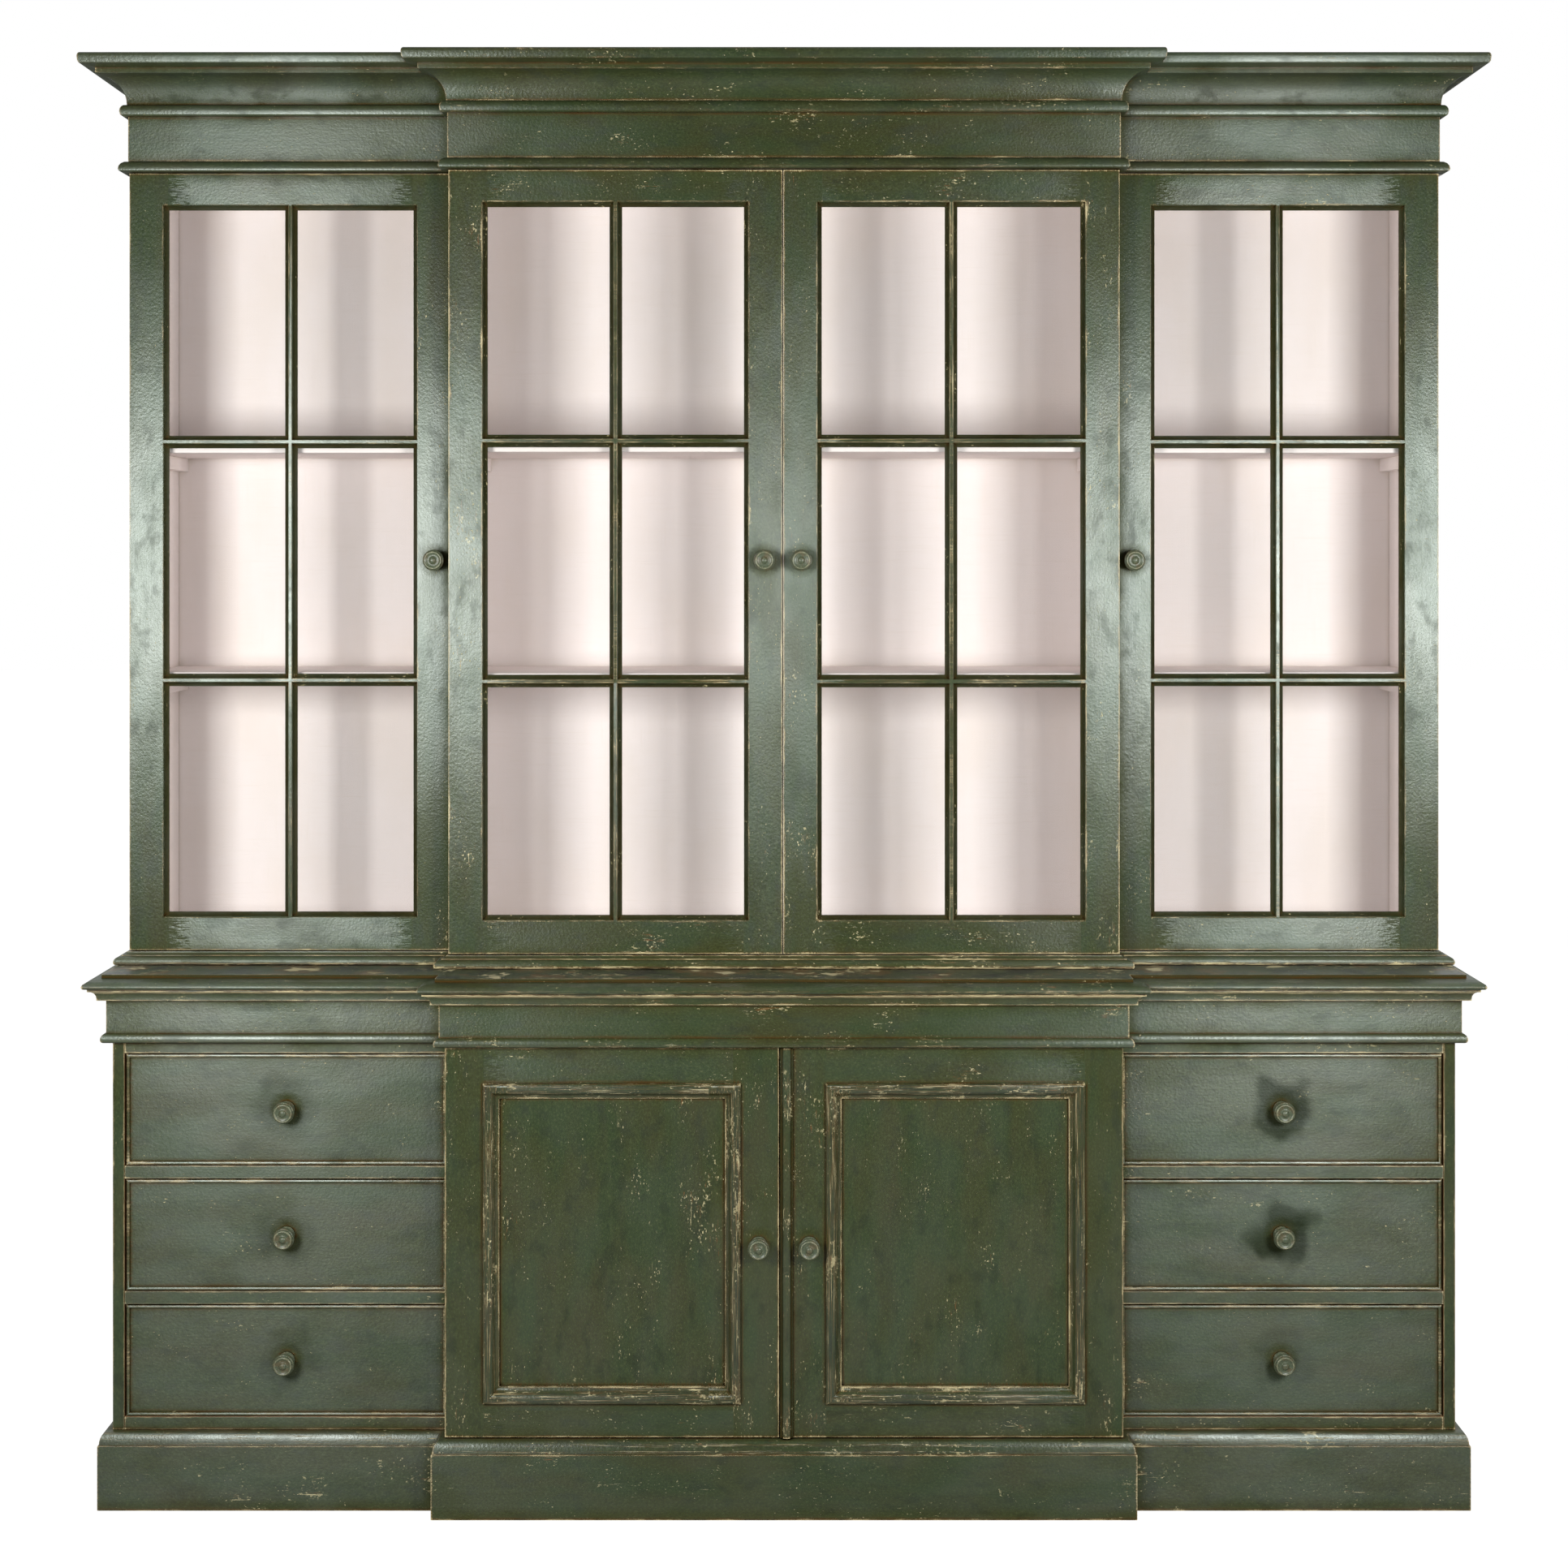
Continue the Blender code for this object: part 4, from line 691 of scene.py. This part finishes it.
@dataclass
class LowerCase(Joinery):
    """Plinth, carcase, frieze and ledge of the lower case."""

    back_rail_y: float = 0.15
    paint_lap: float = 0.003
    cap_height: float = 0.022
    bead_rise: float = 0.6665
    bead_height: float = 0.016
    lip_height: float = 0.0165
    ledge_top: float = 0.001
    ledge_fillet: float = 0.0058
    ledge_foot: float = 0.0065

    def build_mitred(self, zones: dict, first_board: int) -> None:
        """Builds the mitred frames: paint outside, bare wood inside.

        Args:
            zones: for each node the heights between which its moulding is rubbed, how much,
                and how far from the middle of the cabinet that begins.
            first_board: number of the first board, two of which meet in each mitre.
        """
        for place, (node, worn_zones) in enumerate(zones.items()):
            board = first_board + 2 * place

            def rule(middle: Vector, normal: Vector) -> Surface:
                inside = faces_middle(middle, normal) or normal.y > FACING
                inside = inside or (normal.y < -FACING and middle.y > self.back_rail_y)
                rubbed = sum(
                    worn
                    for start, end, worn, beyond in worn_zones
                    if start < middle.z < end and abs(middle.x) > beyond
                )
                mitre = board + (abs(normal.x) > FACING)
                return Surface(Coat.BARE if inside else Coat.GREEN, Grain.LEVEL, mitre, rubbed)

            self.dress(self.copy_of(node, ease=Ease.MOULDING), rule)

    def build(self) -> None:
        """Builds and dresses every board of the lower case."""
        cap_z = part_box("plinth")[1].z
        bead_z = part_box("base_bottom")[0].z + self.bead_rise
        lip_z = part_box("base_frieze")[1].z
        bead = (bead_z, bead_z + self.bead_height, 0.35, 0)
        zones = {
            "plinth": [(cap_z - self.cap_height, cap_z, 0.45, 0), (0, cap_z - self.cap_height, 0.34, 0)],
            "base_frieze": [bead, (lip_z - self.lip_height, lip_z, 0.3, 0)],
        }
        self.build_mitred(zones, 0)
        self.build_ledge()
        self.build_uprights()
        self.build_level_boards()

    def build_ledge(self) -> None:
        """Builds the ledge: dull on its flat top, waxed and given painted shade in the quirk, worn along
        its foot.
        """
        low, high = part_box("base_top")

        def rule(middle: Vector, normal: Vector) -> Surface:
            if normal.z > SQUARE and middle.z > high.z - self.ledge_top:
                part = "flat"
            elif middle.z > high.z - self.ledge_fillet:
                part = "quirk" if normal.y < -SQUARE or abs(normal.x) > SQUARE else "thumb"
            else:
                part = "foot" if middle.z < low.z + self.ledge_foot else "body"
            return Surface(Coat.GREEN, Grain.LEVEL, 5, LEDGE_WEAR_AND_SHADE[part])

        self.dress(self.copy_of("base_top", ease=Ease.MOULDING), rule)

    def build_uprights(self) -> None:
        """Builds the ends, the partitions and the boarded back."""
        for board, word in enumerate(SIDES, 6):

            def rule(middle: Vector, normal: Vector) -> Surface:
                coat = Coat.BARE if faces_middle(middle, normal) else Coat.GREEN
                return Surface(coat, Grain.UPRIGHT, board)

            self.dress(self.copy_of(f"base_{word}_end"), rule)
            wing_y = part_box(f"base_{word}_end")[0].y
            self.parted(f"base_{word}_partition", wing_y, Coat.BARE, board + 2)
        self.plain("base_back", Surface(Coat.BARE, Grain.UPRIGHT, 10))

    def build_level_boards(self) -> None:
        """Builds the bottom, the shelf and the rails with their dustboards."""
        rails = [f"{side}_dustboard_{place}" for side in SIDES for place in ("lower", "upper")]
        for board, node in enumerate(["base_bottom", *rails], 11):
            paint_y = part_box(node)[0].y + self.paint_lap

            def rule(middle: Vector, normal: Vector) -> Surface:
                painted = normal.y < -FACING or middle.y < paint_y
                return Surface(Coat.GREEN if painted else Coat.BARE, Grain.LEVEL, board)

            self.dress(self.copy_of(node, [plane("y", paint_y)]), rule)
        self.plain("cupboard_shelf", Surface(Coat.BARE, Grain.LEVEL, 17), Ease.THIN)


@dataclass
class UpperCase(LowerCase):
    """Waist, carcase, shelves, frieze and cornice of the upper case."""

    cove_height: float = 0.052
    # below zero: the wing coves wear less, lose gloss and get painted shade
    cove_shelter_and_shade: float = -0.4
    nose_foot: float = 0.0035
    nose_wear: float = 0.9
    end_thickness: float = 0.018

    def build(self) -> None:
        """Builds and dresses every board of the upper case."""
        cove_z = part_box("cornice")[0].z
        wing_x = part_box("centre_right_glazed_door_frame")[1].x
        cove = (cove_z, cove_z + self.cove_height, self.cove_shelter_and_shade, wing_x)
        self.build_mitred({"upper_frieze": [], "cornice": [cove]}, 20)
        self.build_bay_boards()
        self.build_bay_uprights()
        for board, bay in enumerate(("left", "centre", "right"), 36):
            for place in ("lower", "upper"):
                self.plain(f"{bay}_shelf_{place}", Surface(Coat.CREAM, Grain.LEVEL, board), Ease.THIN)

    def build_bay_boards(self) -> None:
        """Builds the waist and top boards, green outside and cream in the bays."""
        end_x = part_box("upper_right_end")[0].x + self.end_thickness
        wing_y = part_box("upper_right_end")[0].y
        break_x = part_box("centre_right_glazed_door_frame")[1].x
        centre_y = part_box("upper_right_partition")[0].y
        cuts = [plane("y", wing_y), plane("y", centre_y), plane("x", -break_x), plane("x", break_x)]
        for board, (node, way) in enumerate((("upper_base", 1), ("upper_top", -1)), 30):
            foot_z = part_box(node)[0].z + self.nose_foot

            def rule(middle: Vector, normal: Vector) -> Surface:
                front = wing_y if abs(middle.x) > break_x else centre_y
                inside = normal.z * way > FACING and middle.y > front and abs(middle.x) < end_x
                on_nose = way > 0 and middle.z < foot_z and abs(normal.z) < 0.98
                coat = Coat.CREAM if inside else Coat.GREEN
                return Surface(coat, Grain.LEVEL, board, self.nose_wear if on_nose else 0.0)

            self.dress(self.copy_of(node, cuts, Ease.MOULDING), rule)

    def build_bay_uprights(self) -> None:
        """Builds the ends, the partitions and the boarded back of the glazed bays."""
        door_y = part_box("left_glazed_door_frame")[0].y
        for board, (word, corner) in enumerate(zip(SIDES, (0, 1)), 32):
            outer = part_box(f"upper_{word}_end")[corner].x

            def rule(middle: Vector, normal: Vector) -> Surface:
                painted = abs(middle.x - outer) < self.paint_lap or normal.y > FACING
                return Surface(Coat.GREEN if painted else Coat.CREAM, Grain.UPRIGHT, board)

            cut = plane("x", outer - math.copysign(self.paint_lap, outer))
            self.dress(self.copy_of(f"upper_{word}_end", [cut]), rule)
            self.parted(f"upper_{word}_partition", door_y, Coat.CREAM, board + 2)

        def back_rule(middle: Vector, normal: Vector) -> Surface:
            return Surface(Coat.CREAM if normal.y < -FACING else Coat.BARE, Grain.UPRIGHT, 36)

        self.dress(self.copy_of("upper_back"), back_rule)


@dataclass
class FramedDoor(Joinery):
    """A door of stiles and rails, which turns on its own body."""

    name: str = ""
    first_board: int = 40
    foot_wear: float = 0.0
    stile_widths: tuple = (0.067, 0.067)
    rail_width: float = 0.066
    bar_half: float = 0.0115
    mitred: bool = False
    thickness: float = 0.022
    turn_width: float = 0.042
    leaning: float = 0.3
    rail_start: float = 0.0
    rail_end: float = 0.0

    def rubbed_at(self, depth: float) -> float:
        """Tells how much a face is rubbed, from -1 to 1, by how far it lies behind the frame's flat."""
        return 0.0

    def member_rule(self) -> FaceRule:
        """Gives the rule that tells the stiles from the rails and bars."""
        low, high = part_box(f"{self.name}_frame")
        start, end = self.rail_start, self.rail_end
        middle_x = (low.x + high.x) / 2
        flat_y = high.y - self.thickness

        def rule(middle: Vector, normal: Vector) -> Surface:
            in_foot = middle.z < low.z + self.rail_width
            rubbed = self.rubbed_at(middle.y - flat_y)
            if rubbed == 0 and in_foot and start < middle.x < end:
                rubbed = self.foot_wear
            if middle.x < start or middle.x > end:
                board = self.first_board + (middle.x >= middle_x)
                return Surface(Coat.GREEN, Grain.UPRIGHT, board, rubbed)
            if self.mitred:
                into_z = min(middle.z - low.z, high.z - middle.z) - self.rail_width
                sideways = min(middle.x - start, end - middle.x) < into_z
            else:
                on_rail = in_foot or middle.z > high.z - self.rail_width
                in_middle = abs(middle.x - middle_x) < self.bar_half and not on_rail
                sideways = abs(normal.x) > max(self.leaning, abs(normal.z))
                sideways = sideways or (in_middle and abs(normal.z) < self.leaning)
            if sideways:
                return Surface(Coat.GREEN, Grain.UPRIGHT, self.first_board + 2, rubbed)
            return Surface(Coat.GREEN, Grain.LEVEL, self.first_board + (3 if in_foot else 4), rubbed)

        return rule

    def way_at(self, point: Vector, surface: Surface) -> float:
        """Lets the brush strokes of a rail turn over into those of the stile beside it."""
        if surface.grain is Grain.UPRIGHT:
            return 1.0
        into_rail = min(point.x - self.rail_start, self.rail_end - point.x)
        return 1.0 - min(1.0, max(0.0, into_rail / self.turn_width))

    def build_frame(self) -> None:
        """Builds the frame, parted at the joints of its stiles and rails."""
        low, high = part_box(f"{self.name}_frame")
        start, end = low.x + self.stile_widths[0], high.x - self.stile_widths[1]
        self.rail_start, self.rail_end = start, end
        cuts = [plane("x", x) for x in (start, start + self.turn_width, end - self.turn_width, end)]
        cuts += [plane("z", z) for z in (low.z + self.rail_width, high.z - self.rail_width)]
        self.dress(self.copy_of(f"{self.name}_frame", cuts, Ease.THIN), self.member_rule())


@dataclass
class GlazedDoor(FramedDoor):
    """A glazed door: frame, pane, and the tongue that one of the middle pair has."""

    has_tongue: bool = False
    tongue_proud: float = 0.0017
    tongue_setback: float = 0.009
    tongue_thickness: float = 0.009
    back_skin: float = 0.001
    edge_start: float = 0.0015
    edge_depth: float = 0.008

    def rubbed_at(self, depth: float) -> float:
        """Finds the glazing edges sheltered and gives them painted shade, the darker the deeper they lie.
        """
        if depth > self.thickness - self.back_skin:
            return 0.0
        return -min(1.0, max(0.0, depth - self.edge_start) / self.edge_depth)

    def build(self) -> None:
        """Builds the door's frame and glass."""
        self.build_frame()
        if self.has_tongue:
            self.build_tongue()
        glass = frame["nodes"][f"{self.name}_glass"]
        glass.data.materials.clear()
        glass.data.materials.append(self.finishes.glass)

    def build_tongue(self) -> None:
        """Builds the tongue on the meeting edge, which closes the gap to the other door."""
        low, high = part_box(f"{self.name}_frame")
        front_y = high.y - self.thickness + self.tongue_setback
        size = (self.tongue_proud, self.tongue_thickness, high.z - low.z - 2 * self.tongue_setback)
        middle = (high.x + size[0] / 2, front_y + size[1] / 2, (low.z + high.z) / 2)
        bpy.ops.object.select_all(action="DESELECT")
        bpy.ops.mesh.primitive_cube_add(size=1.0, location=middle, scale=size)
        tongue = bpy.context.object
        tongue.name = f"{self.name}_rebate"
        bpy.ops.object.transform_apply(location=True, rotation=True, scale=True)
        bpy.ops.object.mode_set(mode="EDIT")
        bpy.ops.mesh.select_all(action="SELECT")
        bpy.ops.mesh.bevel(offset=self.tongue_proud / 3, segments=2, affect="EDGES")
        bpy.ops.object.mode_set(mode="OBJECT")
        bpy.ops.object.shade_smooth_by_angle(angle=math.radians(self.sharp_degrees))
        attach(tongue, self.body)
        # fully sheltered: the tongue gets painted shade, dark as the gap that it closes
        surface = Surface(Coat.GREEN, Grain.UPRIGHT, self.first_board, -1.0)
        self.dress(tongue, lambda middle, normal: surface)


@dataclass
class CupboardDoor(FramedDoor):
    """A cupboard door: frame with its raised moulding, and panel."""

    stile_widths: tuple = (0.065, 0.0775)
    rail_width: float = 0.0555
    mitred: bool = True
    has_astragal: bool = False
    ridge_half: float = 0.0045
    ridge_wear: float = 0.36
    side_shelter_and_shade: float = -0.75
    raised_from: float = -0.0015
    raised_wear: float = 0.48
    slope: tuple = (0.0005, 0.008)
    slope_wear: float = 0.42

    def rubbed_at(self, depth: float) -> float:
        """Finds the raised moulding well rubbed, and its slope to the panel too."""
        if depth < self.raised_from:
            return self.raised_wear
        return self.slope_wear if self.slope[0] < depth < self.slope[1] else 0.0

    def build(self) -> None:
        """Builds the door's frame and panel, and its astragal if it has one."""
        self.build_frame()
        board = self.first_board + 5
        self.plain(f"{self.name}_panel", Surface(Coat.GREEN, Grain.UPRIGHT, board))
        if self.has_astragal:
            low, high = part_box("astragal")
            ridge_x = (low.x + high.x) / 2

            def rule(middle: Vector, normal: Vector) -> Surface:
                on_ridge = abs(middle.x - ridge_x) < self.ridge_half and normal.y < -FACING
                # the sides wear less and get painted shade; the ridge is rubbed
                worn = self.ridge_wear if on_ridge else self.side_shelter_and_shade
                return Surface(Coat.GREEN, Grain.UPRIGHT, board + 1, worn)

            self.dress(self.copy_of("astragal", ease=Ease.THIN), rule)


@dataclass
class Drawer(Joinery):
    """A drawer: painted front with its cock bead, and a bare tray."""

    name: str = ""
    board: int = 80
    marked: float = 0.25
    painted_depth: float = 0.007
    front_thickness: float = 0.022
    side_drop: float = 0.008
    bead_depth: float = 0.004
    bead_wear: float = 0.25
    dulled: float = -0.15
    tails: int = 3
    pin_half: float = 0.0055
    tail_slope: float = 0.16

    def build(self) -> None:
        """Builds the drawer, with the dovetails that hold its sides to the front."""
        face_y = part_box("base_left_end")[0].y
        paint_end = face_y + self.painted_depth
        low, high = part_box(f"{self.name}_knob")
        self.knob_mark = ((low.x + high.x) / 2, (low.z + high.z) / 2, self.marked)
        low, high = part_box(self.name)
        step = (high.z - self.side_drop - low.z) / self.tails
        heights = [low.z + count * step for count in range(self.tails + 1)]
        cuts = [plane("y", paint_end), plane("y", face_y + self.front_thickness)]
        for height in heights:
            for way in (-1, 1):
                edge_z = height + way * self.pin_half
                cuts.append(((0, paint_end, edge_z), (0, -way * self.tail_slope, 1)))

        def rule(middle: Vector, normal: Vector) -> Surface:
            depth = middle.y - paint_end
            half = self.pin_half + self.tail_slope * depth
            in_front = 0 < depth < self.front_thickness - self.painted_depth
            if in_front and abs(normal.x) > SQUARE and min(abs(middle.z - z) for z in heights) < half:
                return Surface(Coat.BARE, Grain.UPRIGHT, self.board, -1.0)
            coat = Coat.GREEN if middle.y < paint_end else Coat.BARE
            on_bead = middle.y < face_y + self.bead_depth
            return Surface(coat, Grain.LEVEL, self.board, self.bead_wear if on_bead else self.dulled)

        self.dress(self.copy_of(self.name, cuts, Ease.MOULDING), rule)


@dataclass
class TurnedKnobs:
    """The turned knobs, all alike: turned once and copied to every door and drawer.

    The profile gives how far out each ring stands and how wide it is, as shares of the
    projection and of the radius.
    """

    finishes: Finishes
    sides: int = 56
    radius: float = 0.0185
    projection: float = 0.0385
    seat_gap: float = 0.0003
    sharp_degrees: float = 50.0
    profile: tuple = (
        (0.0, 0.74), (0.045, 0.775), (0.09, 0.75), (0.12, 0.66), (0.16, 0.6), (0.26, 0.52),
        (0.34, 0.53), (0.42, 0.61), (0.49, 0.76), (0.545, 0.885), (0.6, 0.965), (0.66, 1.0),
        (0.72, 0.995), (0.78, 0.965), (0.8, 0.935), (0.805, 0.905), (0.835, 0.9), (0.885, 0.875),
        (0.92, 0.83), (0.938, 0.78), (0.935, 0.73), (0.915, 0.68), (0.895, 0.6), (0.885, 0.48),
        (0.885, 0.36), (0.9, 0.325), (0.93, 0.3), (0.965, 0.24), (0.985, 0.16), (0.995, 0.08),
    )

    def turn(self) -> bpy.types.Mesh:
        """Turns one knob on the origin, its foot at zero and its head towards -Y."""
        bpy.ops.object.select_all(action="DESELECT")
        bpy.ops.mesh.primitive_circle_add(
            vertices=self.sides,
            radius=self.profile[0][1] * self.radius,
            fill_type="NGON",
            rotation=(math.pi / 2, 0, 0),
            location=(0, -self.seat_gap, 0),
        )
        knob = bpy.context.object
        bpy.ops.object.transform_apply(location=True, rotation=True, scale=True)
        bpy.ops.object.mode_set(mode="EDIT")
        bpy.ops.mesh.select_all(action="SELECT")
        length = self.projection - self.seat_gap
        for (out, wide), (next_out, next_wide) in zip(self.profile, self.profile[1:]):
            step = (0, -(next_out - out) * length, 0)
            bpy.ops.mesh.extrude_region_move(TRANSFORM_OT_translate={"value": step})
            share = next_wide / wide
            centre = (0, -self.seat_gap - next_out * length, 0)
            bpy.ops.transform.resize(value=(share, 1, share), center_override=centre)
        bpy.ops.mesh.select_all(action="SELECT")
        bpy.ops.mesh.normals_make_consistent(inside=False)
        bpy.ops.object.mode_set(mode="OBJECT")
        bpy.ops.object.shade_smooth_by_angle(angle=math.radians(self.sharp_degrees))
        mesh = knob.data.copy()
        bpy.data.objects.remove(knob, do_unlink=True)
        return mesh

    def build(self) -> None:
        """Puts a copy of the knob in the place of each knob of the frame."""
        turned = self.turn()
        turned.materials.append(self.finishes.knob)
        for node, source in sorted(frame["nodes"].items()):
            if not node.endswith("_knob"):
                continue
            low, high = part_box(node)
            mesh = turned.copy()
            place = Vector(((low.x + high.x) / 2, low.y + self.projection, (low.z + high.z) / 2))
            mesh.transform(Matrix.Translation(place))
            knob = bpy.data.objects.new(f"{node}_turned", mesh)
            bpy.context.scene.collection.objects.link(knob)
            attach(knob, source["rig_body"])
            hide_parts(node)
            LOG.info("%s rides on %s", knob.name, source["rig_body"])


@dataclass
class Studio:
    """Pale floor, white surroundings, two soft boxes and the camera."""

    eye: tuple = (0.0, -4.1865, 1.625)
    lens: float = 54.0
    shift: float = -0.1429
    box_place: tuple = (1.37, -2.2, 1.59)
    box_aim: tuple = (0.45, 0.0, 1.3)
    box_size: tuple = (0.6, 0.8)
    box_watts: float = 50.0
    ambient: float = 0.17
    rear_ambient: float = 0.5
    ambient_turn: tuple = (-0.05, 0.4)
    dim_side: float = 0.08
    dim_turn: tuple = (-0.55, 0.15)
    floor_half: float = 30.0
    floor_colour: str = "#9A9A9A"
    floor_roughness: float = 0.9
    floor_lift: float = 0.9

    def build(self) -> None:
        """Builds the studio."""
        self.build_camera()
        panes = self.unlit_panes()
        for side, word in zip((-1, 1), SIDES):
            self.build_lamp(side, word, panes)
        self.build_surroundings()
        self.build_floor()

    def build_camera(self) -> None:
        """Adds the camera at the photograph's eye point."""
        data = bpy.data.cameras.new("camera")
        data.lens = self.lens
        data.shift_y = self.shift
        camera = bpy.data.objects.new("camera", data)
        camera.location = self.eye
        camera.rotation_euler = (math.pi / 2, 0, 0)
        bpy.context.scene.collection.objects.link(camera)
        bpy.context.scene.camera = camera

    def build_lamp(self, side: int, word: str, panes: bpy.types.Collection) -> None:
        """Adds the soft box of a side, aimed at its half of the cabinet. The panes stay unlit."""
        data = bpy.data.lights.new(f"{word}_soft_box", "AREA")
        data.shape = "RECTANGLE"
        data.size, data.size_y = self.box_size
        data.energy = self.box_watts
        lamp = bpy.data.objects.new(f"{word}_soft_box", data)
        mirror = Vector((side, 1, 1))
        lamp.location = Vector(self.box_place) * mirror
        aim = Vector(self.box_aim) * mirror - lamp.location
        lamp.rotation_euler = aim.to_track_quat("-Z", "Y").to_euler()
        bpy.context.scene.collection.objects.link(lamp)
        lamp.light_linking.receiver_collection = panes

    def unlit_panes(self) -> bpy.types.Collection:
        """Gives the panes a collection that no lamp mirrors in, as none does in the photograph."""
        panes = bpy.data.collections.new("panes_without_lamps")
        for node, source in sorted(frame["nodes"].items()):
            if node.endswith("_glass"):
                panes.objects.link(source)
        for member in panes.collection_objects:
            member.light_linking.link_state = "EXCLUDE"
        return panes

    def build_surroundings(self) -> None:
        """Makes the world white to the eye, and dimmer where it only lights the cabinet.

        What the paint and the glass reflect is white too, but dim on the camera's side, as
        in a studio whose lamps all point at the cabinet. The wall behind it lights the sides
        and the back.
        """
        bpy.context.scene.world = bpy.data.worlds.new("studio")
        world = Nodes(bpy.context.scene.world)
        path = world.add("LightPath")
        direction = world.add("TexCoord")["Generated"]
        rear = world.add("SeparateXYZ", {}, {0: direction})["Y"]
        behind = world.between(rear, *self.dim_turn, self.dim_side, 1.0, "LINEAR")
        lit = world.between(rear, *self.ambient_turn, self.ambient, self.rear_ambient, "LINEAR")
        mirrored = world.add("Mix", {}, {0: path["Is Glossy Ray"], 2: lit, 3: behind})
        seen = world.larger(path["Is Camera Ray"], path["Is Transmission Ray"])
        strength = world.add("Mix", {3: 1.0}, {0: seen, 2: mirrored[0]})[0]
        white = {"Color": (1, 1, 1, 1)}
        background = world.add("Background", white, {"Strength": strength})
        world.add("OutputWorld", {}, {"Surface": background[0]})

    def build_floor(self) -> None:
        """Adds the pale floor, lifted to white for the eye where no shadow falls."""
        bpy.ops.object.select_all(action="DESELECT")
        bpy.ops.mesh.primitive_plane_add(size=2 * self.floor_half, location=(0, 0, 0))
        floor = bpy.context.object
        floor.name = "studio_floor"
        pale = Nodes(bpy.data.materials.new("pale_floor"))
        path = pale.add("LightPath")
        matt = {"Base Color": linear(self.floor_colour), "Roughness": self.floor_roughness}
        shader = pale.add("BsdfPrincipled", matt)[0]
        dimmed = pale.product(path["Is Glossy Ray"], self.dim_side)
        seen = pale.larger(path["Is Camera Ray"], pale.larger(path["Is Transmission Ray"], dimmed))
        lift = pale.product(seen, self.floor_lift)
        glow = pale.add("Emission", {}, {"Strength": lift})[0]
        total = pale.add("AddShader", {}, {0: shader, 1: glow})[0]
        pale.add("OutputMaterial", {}, {"Surface": total})
        floor.data.materials.append(pale.owner)


def build_doors(finishes: Finishes) -> None:
    """Builds the four glazed doors, then the two cupboard doors."""
    for place, word in enumerate(("left", "centre_left", "centre_right", "right")):
        name = f"{word}_glazed_door"
        door = GlazedDoor(finishes, body=name, name=name, first_board=40 + 6 * place)
        door.has_tongue = word == "centre_left"
        door.foot_wear = 0.22 if "centre" in word else 0.0
        door.build()
    for place, word in enumerate(SIDES):
        name = f"{word}_cupboard_door"
        door = CupboardDoor(finishes, body=name, name=name, first_board=64 + 7 * place, foot_wear=0.18)
        if word == "right":
            door.has_astragal = True
            door.stile_widths = tuple(reversed(door.stile_widths))
        door.build()


def build_drawers(finishes: Finishes) -> None:
    """Builds the six drawers, of which the upper two on the right are marked most by hands."""
    drawers = [f"{side}_drawer_{place}" for side in SIDES for place in ("bottom", "middle", "top")]
    for board, name in enumerate(drawers, 80):
        drawer = Drawer(finishes, body=name, name=name, board=board)
        if "right" in name and "bottom" not in name:
            drawer.marked = 0.75
        drawer.build()


def main() -> None:
    """Builds the cabinet's looks and the studio."""
    logging.basicConfig(level=logging.INFO, format="%(message)s")
    bpy.context.scene.view_settings.view_transform = "Standard"
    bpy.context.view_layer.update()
    finishes = Finishes()
    LowerCase(finishes).build()
    UpperCase(finishes).build()
    build_doors(finishes)
    build_drawers(finishes)
    TurnedKnobs(finishes).build()
    Studio().build()


if __name__ == "__main__":
    main()
